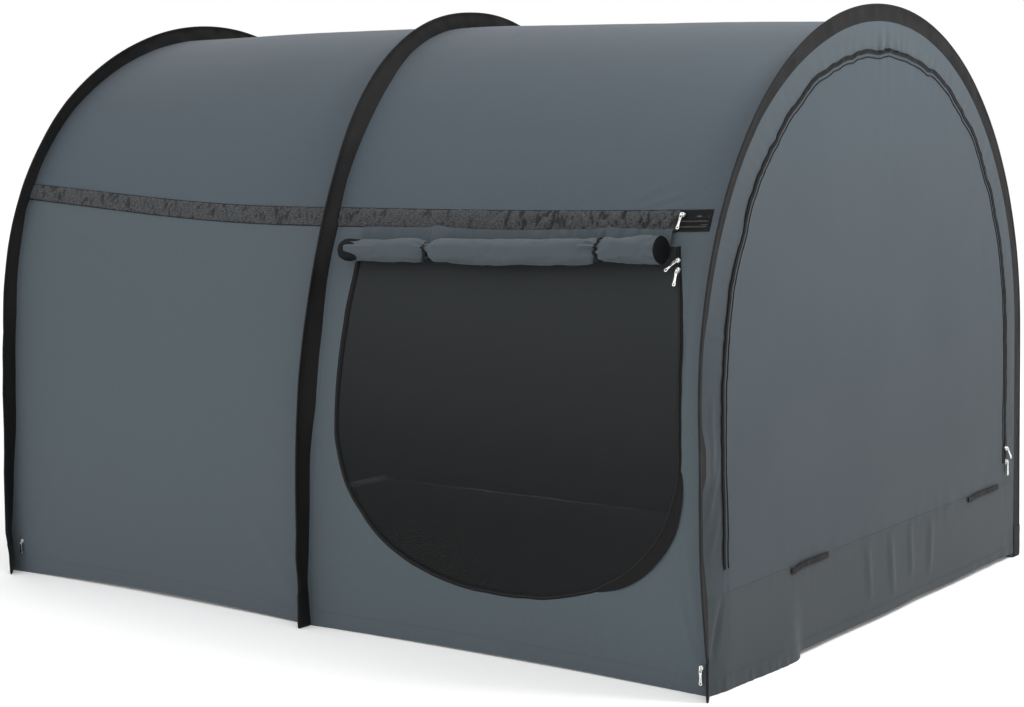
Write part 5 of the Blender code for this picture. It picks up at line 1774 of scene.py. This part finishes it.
@dataclass
class Sleeve:
    """One hoop's black sleeve, its rod inside, and the pockets that hold the rod's feet."""

    hoop: Hoop
    wardrobe: Wardrobe
    rod_radius: float = 0.0017
    tube_radius: float = 0.0024
    web: float = 0.0009  # half the flat part's thickness
    stations: int = 300

    def frames(self, t: Array) -> tuple[Array, Array, Array, Array]:
        """The fin at these places round the hoop.

        Args:
            t: Places round the hoop.

        Returns:
            The seam's points, the directions to the outer edge and across the fin, and the fin's widths.
        """
        seam, normal = self.hoop.point(t)
        outer = seam + SLEEVE_WIDTH * normal + self.hoop.bow(t)[:, None] * ALONG
        seam = seam + self.hoop.shift(t)[:, None] * ALONG
        width = np.linalg.norm(outer - seam, axis=1)
        rise = (outer - seam) / width[:, None]
        side = unit(ALONG - rise[:, :1] * rise)
        return seam, rise, side, width

    def make_sleeve(self) -> Thing:
        """The sleeve: a flat web gathered at its seam, with a narrow tube round the rod."""
        start = self.hoop.t_from_foot(POCKET_HEIGHT - 0.004)
        t = np.linspace(start, 1 - start, self.stations)
        seam, rise, side, width = self.frames(t)
        length = self.hoop.along(t)
        length = np.where(t > 0.5, 2 * self.hoop.length[-1] - length, length)
        over = np.linspace(math.radians(215), math.radians(505), 9)
        tube = np.column_stack([np.cos(over), np.sin(over)]) * self.tube_radius
        webs = [(0.0, -1.0), (0.18, -1.15), (0.42, -1.0), (0.66, -1.0)]
        high = np.exp(-(((t - 0.5) / 0.17) ** 2))
        seed = {"back": 300, "middle": 310, "front": 320}[self.hoop.name]
        waves = Ripple(seed).at(length / 0.020, 0.0)
        slow = Ripple(seed + 1).at(length / 0.085, 0.0)
        bend = (0.0005 + 0.0026 * high) * waves + (0.0014 + 0.0014 * high) * slow
        ring = [(share * width, sign * self.web) for share, sign in webs]
        ring += [(width - self.tube_radius + along, across) for along, across in tube]
        ring += [(share * width, -sign * self.web) for share, sign in reversed(webs)]
        places = []
        for along, across in ring:
            part = np.clip(along / width, 0.0, 1.0)
            sway = bend * np.sin(np.pi * part) ** 1.2
            ripple = 0.0005 * high * Ripple(seed + 2).at(length / 0.011, part / 0.4) * (1 - part)
            move = across + sway + ripple
            places.append(seam + along[:, None] * rise + move[:, None] * side)
        sleeve = swept(f"hoop_sleeve_{self.hoop.name}", np.stack(places, axis=1), length)
        node = f"sleeve_{self.hoop.name}"
        # The front hoop's sleeve takes the lighter copy with painted sheen.
        cloth = self.wardrobe.front_sleeve if self.hoop.name == "front" else self.wardrobe.sleeve
        return finish_piece(sleeve, cloth, stands_for=[node])

    def make_rod(self) -> Thing:
        """The springy rod inside the sleeve, down into both pockets."""
        start = self.hoop.t_from_foot(0.008)
        t = np.linspace(start, 1 - start, 160)
        seam, rise, side, width = self.frames(t)
        middle = seam + (width - self.tube_radius)[:, None] * rise
        turns = [math.cos(angle) * rise + math.sin(angle) * side for angle in ring_angles(8)]
        ring = [middle + self.rod_radius * turn for turn in turns]
        rod = swept(f"hoop_rod_{self.hoop.name}", np.stack(ring, axis=1), self.hoop.along(t))
        return finish_piece(rod, self.wardrobe.rod, stands_for=[f"pole_{self.hoop.name}"])

    def make_pocket(self, side_of_bed: Side) -> Thing:
        """A foot pocket: heavier black cloth round the sleeve's end, closed and rounded at the floor."""
        top = POCKET_HEIGHT + 0.006
        rise_up = [0.0, 0.0008, 0.002, 0.005, 0.012, 0.03, 0.05, 0.066, top - 0.002, top - 0.0006, top]
        swell = [0.35, 0.62, 0.80, 0.95, 1.0, 1.0, 1.0, 1.0, 1.0, 0.96, 0.80]
        t = side_of_bed.round(np.array([self.hoop.t_from_foot(length) for length in rise_up]))
        seam, rise, side, width = self.frames(t)
        angles = ring_angles(28)
        across, thick = signed_power(np.cos(angles), 0.45), signed_power(np.sin(angles), 0.8)
        rings = []
        for k, size in enumerate(swell):
            half_width = (width[k] + POCKET_LIP) / 2
            reach = half_width * (0.92 + 0.08 * size)
            puffed = 0.0030 + 0.0012 * np.clip(across, 0, 1)
            wave = 0.0004 * Ripple(340).at(3 * across + rise_up[k] / 0.02, rise_up[k] / 0.03)
            ring = seam[k] + half_width * rise[k] + (reach * across)[:, None] * rise[k]
            rings.append(ring + (size * thick * (puffed + wave))[:, None] * side[k])
        rings = np.array(rings)
        rings[..., 2] = np.maximum(rings[..., 2], 0.0002)
        order = slice(None) if side_of_bed is Side.LEFT else slice(None, None, -1)
        name = f"foot_pocket_{side_of_bed.value}_{self.hoop.name}"
        pocket = swept(name.replace("foot", "sewn"), rings[order], np.array(rise_up))
        return finish_piece(pocket, self.wardrobe.pocket, stands_for=[name])

    def seam_lines(self) -> list[tuple[Array, Array]]:
        """Lines of stitches beside the rod, on both faces of the web."""
        start = self.hoop.t_from_foot(POCKET_HEIGHT + 0.01)
        t = np.linspace(start, 1 - start, 700)
        seam, rise, side, width = self.frames(t)
        lines = []
        for sign in (-1, 1):
            line = seam + (width - 0.0085)[:, None] * rise + sign * (self.web + 0.0001) * side
            lines.append((line, sign * side))
        return lines


# Zip sliders and pulls.


def frame_on(point: Array, normal: Array, tilt: float) -> Matrix:
    """A slider's frame: its z runs up along the pull and its -y stands out of the cloth.

    Args:
        point: Where it sits.
        normal: The way out of the cloth there.
        tilt: Turn on the cloth, in degrees.

    Returns:
        The frame's matrix.
    """
    out = Vector(normal).normalized()
    across = (-out).cross(Vector(UP)).normalized()
    along = across.cross(-out).normalized()
    turn = Matrix((across, -out, along)).transposed().to_4x4()
    return Matrix.Translation(Vector(point)) @ turn @ Matrix.Rotation(math.radians(tilt), 4, "Y")


@dataclass
class ZipPull:
    """A zip slider with its bridge, and the plate that hangs from it."""

    key: str
    place: Matrix
    across: bool
    wardrobe: Wardrobe
    moving: bool
    length: float = 0.012
    width: float = 0.009
    body: float = 0.005
    bridge_rise: float = 0.0042
    plate_length: float = 0.032
    plate_thickness: float = 0.0016
    plate_top: float = 0.0068
    plate_end: float = 0.0084
    slot: Point = (0.0044, 0.0048)
    eye: float = 0.0018
    pin_z: float = -0.0018
    pin_out: float = 0.0067

    def put(self, points: Array, matrix: Matrix) -> Array:
        """Points carried from a frame to the tent's own space."""
        turn = np.array(matrix)
        return points @ turn[:3, :3].T + turn[:3, 3]

    def make_slider(self) -> Thing:
        """The slider: a shield-shaped body in two plates, and an arched bridge over it."""
        wide, long = (self.length, self.width) if self.across else (self.width, self.length)
        top = GAP + self.body
        outline = [(-0.55, 1.0), (0.55, 1.0), (1.0, 0.62), (1.0, 0.05), (0.62, -1.0), (-0.62, -1.0)]
        outline = np.array(outline + [(-1.0, 0.05), (-1.0, 0.62)]) * (wide / 2, long / 2)
        parts = []
        for low, high, share in ((GAP, 0.0019, 1.0), (0.0016, 0.0036, 0.72), (0.0033, top, 1.0)):
            parts.append(self._plate(outline * share, low, high, self.place, 0.0004))
        section = [(-0.0012, -0.00065), (0.0012, -0.00065), (0.0012, 0.00065), (-0.0012, 0.00065)]
        reach = 0.0039
        rings = []
        for arc in np.linspace(0.0, math.pi, 13):
            out = top - 0.0004 + (self.bridge_rise - 0.0004) * math.sin(arc) ** 0.6
            rings.append([(a, -(out + b * math.sin(arc)), (reach + b) * math.cos(arc)) for a, b in section])
        bridge = self.put(np.array(rings).reshape(-1, 3), self.place).reshape(-1, 4, 3)
        parts.append(swept("bridge", bridge, np.linspace(0.0, math.pi * reach, 13)))
        return self._finished("slider", parts, TENT)

    def _finished(self, kind: str, parts: Sequence[Thing], body: str) -> Thing:
        """The slider or the pull as a piece, which stands for a solid where it moves."""
        piece = joined(f"{'metal' if self.moving else 'fixed'}_{self.key}_{kind}", parts)
        stands = [f"{self.key}_{kind}"] if self.moving else []
        return finish_piece(piece, self.wardrobe.silver, body=body, stands_for=stands)

    def _plate(self, outline: Array, low: float, high: float, matrix: Matrix, bevel: float = 0.0) -> Thing:
        """A flat plate between two heights out of the cloth, with rounded edges.

        Args:
            outline: Its corners as (x, z) in the frame.
            low: How far out of the cloth it starts.
            high: How far out of the cloth it ends.
            matrix: The frame.
            bevel: How much its edges are rounded.

        Returns:
            The plate.
        """
        count = len(outline)
        points = [(x, -low, z) for x, z in outline] + [(x, -high, z) for x, z in outline]
        faces = [tuple(range(count)), tuple(range(2 * count - 1, count - 1, -1))]
        faces += [(k, count + k, count + (k + 1) % count, (k + 1) % count) for k in range(count)]
        plate = mesh_object("plate", self.put(np.array(points), matrix), faces, np.tile(outline, (2, 1)))
        face_outwards(plate)
        return bevelled(plate, bevel)

    def make_pull(self) -> Thing:
        """The pull: a plate that widens to a round end, with a slot for the bridge and an eye at its end."""
        hinge = self.place @ Matrix.Translation(Vector((0.0, -self.pin_out, self.pin_z)))
        half, radius, wide = self.plate_thickness / 2, self.plate_end / 2, self.plate_top / 2
        eye_z = -self.plate_length + radius
        slot_foot = -half - self.slot[1]
        right = [(wide - 0.0008, half), (wide, half - 0.0008), (wide, slot_foot - 0.001)]
        right += [(0.0027, slot_foot - 0.006), (0.0027, eye_z + 0.010)]
        right += [
            (radius * math.cos(angle), eye_z - radius * math.sin(angle))
            for angle in np.linspace(-math.radians(35), math.pi / 2, 9)
        ]
        outline = np.array(right + [(-x, z) for x, z in right[-2::-1]])
        plate = self._plate(outline, -half, half, hinge)
        slot_half, angles = self.slot[0] / 2, ring_angles(12)
        slot = [(-slot_half, slot_foot), (slot_half, slot_foot), (slot_half, -half), (-slot_half, -half)]
        eye = np.column_stack([self.eye * np.cos(angles), eye_z + self.eye * np.sin(angles)])
        for hole in (np.array(slot), eye):
            cutter = self._plate(hole, -3 * half, 3 * half, hinge)
            modifier = plate.modifiers.new("hole", "BOOLEAN")
            modifier.object = cutter
            modifier.solver = "EXACT"
            baked(plate)
            bpy.data.objects.remove(cutter, do_unlink=True)
        body = f"{self.key}_pull" if self.moving else TENT
        return self._finished("pull", [bevelled(plate, 0.00028)], body)


@dataclass
class Hardware:
    """Every zip slider of the tent: those that move, and the same ones on the sides that mirror them."""

    front: EndWall
    back: EndWall
    window: Window
    bays: dict[str, Bay]
    wardrobe: Wardrobe
    zip_top: float = 0.0029

    def walls(self, side: Side) -> dict[str, Matrix]:
        """The frames of a side wall's sliders, by name."""
        front, back, edge = self.front.hoop, self.back.hoop, self.window.front_edge
        rows = (
            ("window_upper", "front", edge(0.856), 0.856, self.zip_top, 45.0),
            ("window_lower", "front", edge(0.838), 0.838, self.zip_top, 0.0),
            ("eave", "front", front.x - 0.115, front.eave + 0.004, 0.0033, 0.0),
            ("corner_front", "front", front.x - 0.022, 0.056, 0.0, 0.0),
            ("corner_back", "back", back.x + 0.0125, 0.079, 0.0, 0.0),
        )
        found = {}
        for key, bay, x, z, lift, tilt in rows:
            point, normal = self.bays[bay].wall_spot(side, np.array([x]), np.array([z]), lift)
            found[key] = frame_on(point[0], normal[0], -side.sign * tilt)
        return found

    def doors(self, wall: EndWall) -> dict[str, Matrix]:
        """The frames of an end door's sliders, by name."""
        x, y = wall.hoop.x + wall.end.sign * (0.0015 + GAP + 0.002), wall.half * wall.end.sign
        rows = (("door_upper", 0.285, -38.0), ("door_lower", 0.252, 0.0))
        return {key: frame_on(np.array([x, y, z]), wall.out, tilt) for key, z, tilt in rows}

    def make(self) -> None:
        """Builds every slider and pull. Those that the photograph doesn't show are fixed pieces."""
        groups = [(self.walls(Side.LEFT), ""), (self.walls(Side.RIGHT), "_right")]
        groups += [(self.doors(self.front), ""), (self.doors(self.back), "_back")]
        for frames, tail in groups:
            for key, place in frames.items():
                zip_pull = ZipPull(key + tail, place, key == "eave", self.wardrobe, not tail)
                zip_pull.make_slider()
                zip_pull.make_pull()


# Studio.


@dataclass(frozen=True)
class Studio:
    """A pale floor, even soft light, and the camera."""

    camera_place: Colour = (3.2246, -4.365, 1.262)
    yaw: float = -0.64306
    pitch: float = -0.09905
    roll: float = -0.01910
    lens: float = 77.34
    sensor: float = 36.0
    shift: Point = (0.0168, -0.0733)
    sky: float = 1.0

    def make_floor(self) -> None:
        """A wide pale floor."""
        size = 14.0
        corners = np.array([(-size, -size, 0.0), (size, -size, 0.0), (size, size, 0.0), (-size, size, 0.0)])
        corners[:, 2] = FLOOR_Z
        floor = mesh_object("floor", corners, [(0, 1, 2, 3)], corners[:, :2])
        nodes = NodeSet("pale_floor")
        grain = nodes.noise(nodes.object_place(0.9), 2.0)
        colour = nodes.mix(grain, (0.95, 0.95, 0.95, 1.0), (0.97, 0.97, 0.97, 1.0))
        nodes.feed(nodes.shader.inputs["Base Color"], colour)
        plain = {"Roughness": 0.9, "Specular IOR Level": 0.1}
        plain |= {"Emission Color": WHITE, "Emission Strength": 0.10}
        for key, value in plain.items():
            nodes.feed(nodes.shader.inputs[key], value)
        floor.data.materials.append(nodes.material)

    def make_light(self) -> None:
        """An even white sky and four broad soft lamps."""
        world = bpy.data.worlds.new("white_room")
        world.use_nodes = True
        background = world.node_tree.nodes["Background"]
        background.inputs["Color"].default_value = WHITE
        background.inputs["Strength"].default_value = self.sky
        bpy.context.scene.world = world
        lamps = (
            ("key", (4.5, -3.5, 4.5), 3.0, 45.0),
            ("fill", (-2.0, -5.5, 3.5), 3.5, 45.0),
            ("end", (3.3, 0.5, 3.4), 1.2, 95.0),
            ("top", (0.0, 0.5, 6.0), 4.0, 12.0),
        )
        for name, place, size, power in lamps:
            data = bpy.data.lights.new(f"lamp_{name}", "AREA")
            data.size = size
            data.energy = power
            lamp = linked(f"lamp_{name}", data)
            lamp.location = place
            aim = Vector((0.0, 0.0, 0.6)) - Vector(place)
            lamp.rotation_euler = aim.to_track_quat("-Z", "Y").to_euler()

    def make_camera(self) -> None:
        """The camera, which stands where the photograph was taken from."""
        yaw, pitch = self.yaw, self.pitch
        forward = Vector((math.sin(yaw) * math.cos(pitch), math.cos(yaw) * math.cos(pitch), math.sin(pitch)))
        right = Vector((math.cos(yaw), -math.sin(yaw), 0.0))
        up = right.cross(forward)
        rolled_right = math.cos(self.roll) * right + math.sin(self.roll) * up
        rolled_up = -math.sin(self.roll) * right + math.cos(self.roll) * up
        turn = Matrix((rolled_right, rolled_up, -forward)).transposed()
        data = bpy.data.cameras.new("camera")
        data.lens = self.lens
        data.sensor_width = self.sensor
        data.shift_x, data.shift_y = self.shift
        camera = linked("camera", data)
        camera.location = self.camera_place
        camera.rotation_euler = turn.to_euler()
        bpy.context.scene.camera = camera

    def build(self) -> None:
        """Makes the floor, the light and the camera."""
        self.make_floor()
        self.make_light()
        self.make_camera()
        bpy.context.scene.view_settings.view_transform = "Standard"


# The whole tent.


# How far along x, in mm, the cloth pulls each sleeve's seam and outer edge, at places round its hoop.
BACK_SEAMS = (
    (0.003, -28), (0.015, -25), (0.029, -28), (0.043, -20), (0.058, -14), (0.072, -10), (0.086, -4),
    (0.10, 3), (0.114, 7), (0.128, 8), (0.142, 11), (0.156, 13), (0.17, 16), (0.184, 18), (0.198, 14),
    (0.212, 9), (0.226, 6), (0.241, 0), (0.256, -8), (0.271, -7), (0.288, -12), (0.306, -14),
    (0.325, -16), (0.346, -17), (0.45, 0), (1, 0),
)  # fmt: skip
BACK_BOWS = (
    (0.003, 8), (0.015, 6), (0.029, -5), (0.058, -4), (0.072, -3), (0.086, 1), (0.10, 3), (0.128, 4),
    (0.142, 8), (0.156, 10), (0.17, 15), (0.184, 13), (0.198, 10), (0.212, 8), (0.226, 4), (0.241, 1),
    (0.256, -1), (0.271, -4), (0.288, -5), (0.306, -6), (0.325, -9), (0.346, -10), (0.43, 0), (1, 0),
)  # fmt: skip
MIDDLE_SEAMS = (
    (0.003, -4), (0.03, -6), (0.046, 1), (0.062, 5), (0.079, 8), (0.111, 9), (0.127, 14), (0.143, 21),
    (0.176, 22), (0.192, 24), (0.226, 20), (0.242, 21), (0.26, 24), (0.278, 18), (0.297, 15),
    (0.317, 17), (0.338, 20), (0.36, 21), (0.385, 19), (0.416, 9), (0.45, 5), (0.5, 0), (1, 0),
)  # fmt: skip
MIDDLE_BOWS = (
    (0.003, -6), (0.013, -3), (0.03, 0), (0.046, -4), (0.062, 0), (0.16, -2), (0.192, 1), (0.209, 3),
    (0.226, 4), (0.242, 5), (0.26, 5), (0.297, 4), (0.317, 1), (0.338, -2), (0.36, -4), (0.385, -5),
    (0.416, -3), (0.5, 0), (1, 0),
)  # fmt: skip
FRONT_SEAMS = (
    (0, -8), (0.03, -8), (0.05, -8), (0.065, -12), (0.08, -18), (0.115, -18.5), (0.125, -9), (0.14, -9),
    (0.152, -18), (0.20, -18), (0.215, -14), (0.27, -13), (0.34, -13), (0.385, -7), (0.43, 0),
    (0.58, 0), (0.75, 2.7), (0.90, 2.7), (1, 0),
)  # fmt: skip
FRONT_BOWS = ((0, 13), (0.022, 13), (0.05, 5), (0.075, 0), (1, 0))


def hoops() -> tuple[Hoop, Hoop, Hoop]:
    """The three hoops, back to front."""
    back = Hoop("back", 0.57, 2.034, 0.955, BACK_SEAMS, BACK_BOWS, 0.042, 0.002)
    middle = Hoop("middle", 0.0, 2.216, 0.915, MIDDLE_SEAMS, MIDDLE_BOWS, 0.047, 0.003)
    front = Hoop("front", 0.57, 2.034, 0.940, FRONT_SEAMS, FRONT_BOWS, 0.049, 0.0)
    return back, middle, front


def stitch(
    repeater: Repeater, name: str, lines: Lines, material: Material, slot: str, spacing: float = 0.0055
) -> None:
    """Seams as rows of stitches.

    Args:
        repeater: What sets the stitches.
        name: The piece's name.
        lines: The seams' points and normals.
        material: The thread's finish.
        slot: Passed on to the repeater, which doesn't use it.
        spacing: Distance between stitches.
    """
    size = (spacing * 0.62, 0.0007, 0.0006)
    repeater.make(name, lines, material, slot, spacing, size, slant=0.0, variation=0.1)


def panel_lines(panel: Panel, side: Side | None, inset: float) -> list[tuple[Array, Array]]:
    """Stitch lines up both ends of a panel, and along its hem.

    Args:
        panel: The roof's or a wall's sheet.
        side: The wall's side, or None for a roof, which has no hem.
        inset: How far inside the seams the stitches run, as a share of the width.

    Returns:
        Each line's points and normals.
    """
    low, high = sorted((panel.low_t, panel.high_t))
    up = np.linspace(low + 0.001, high - 0.001, 420)
    rows = [(np.full_like(up, share), up) for share in (inset, 1 - inset)]
    if side:
        share = np.linspace(0.006, 0.994, 400)
        rows.append((share, np.full_like(share, side.round(0.035 / panel.scale))))
    return [panel.spot(panel.bay.seam_u(share, t), t, THREAD_LIFT) for share, t in rows]


def main() -> None:
    """Builds the tent, sub-assembly by sub-assembly, and its studio."""
    logging.basicConfig(level=logging.INFO, format="%(name)s %(message)s")
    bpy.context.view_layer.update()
    wardrobe, repeater = Wardrobe(), Repeater()
    back_hoop, middle_hoop, front_hoop = hoops()
    bays = {
        "back": Bay("back", back_hoop, middle_hoop, 0.0115, (0.008, 0.004)),
        "front": Bay("front", middle_hoop, front_hoop, 0.0035, (0.004, 0.0)),
    }
    slate_lines, black_lines = [], []
    for hoop in (back_hoop, middle_hoop, front_hoop):
        sleeve = Sleeve(hoop, wardrobe)
        sleeve.make_sleeve()
        sleeve.make_rod()
        for side in Side:
            sleeve.make_pocket(side)
        black_lines += sleeve.seam_lines()
    window = None
    band_end = front_hoop.x - 0.118
    for name, bay in bays.items():
        shell = Shell(bay, wardrobe)
        shell.make_roof()
        slate_lines += panel_lines(shell.roof_panel(), None, 0.008)
        if name == "front":
            window = Window(bay, wardrobe, repeater)
        for side in Side:
            shell.make_wall(side, window)
            shell.make_band(side, band_end if window else bay.second.x + 1.0)
            slate_lines += panel_lines(shell.wall_panel(side), side, 0.009)
    for side in Side:
        window.make_net(side)
        window.make_zip(side)
        window.make_cover(side)
        window.make_cuff(side)
        window.make_hollow(side)
        shell.make_open_zip(side, band_end, front_hoop.x - 0.043, repeater)
        for number in (1, 2):
            window.make_tie(side, number)
    ends = {}
    for end, hoop in ((End.FRONT, front_hoop), (End.BACK, back_hoop)):
        wall = EndWall(end, hoop, wardrobe, repeater)
        ends[end] = wall
        wall.make_surround()
        wall.make_door()
        wall.make_skirt()
        wall.make_zip()
        wall.make_loops()
        slate_lines += wall.seam_lines()
    stitch(repeater, "slate_seams", slate_lines, wardrobe.thread, "slate_polyester")
    stitch(repeater, "sleeve_seams", black_lines, wardrobe.black_thread, "black_webbing", 0.007)
    Hardware(ends[End.FRONT], ends[End.BACK], window, bays, wardrobe).make()
    Studio().build()


if __name__ == "__main__":
    main()
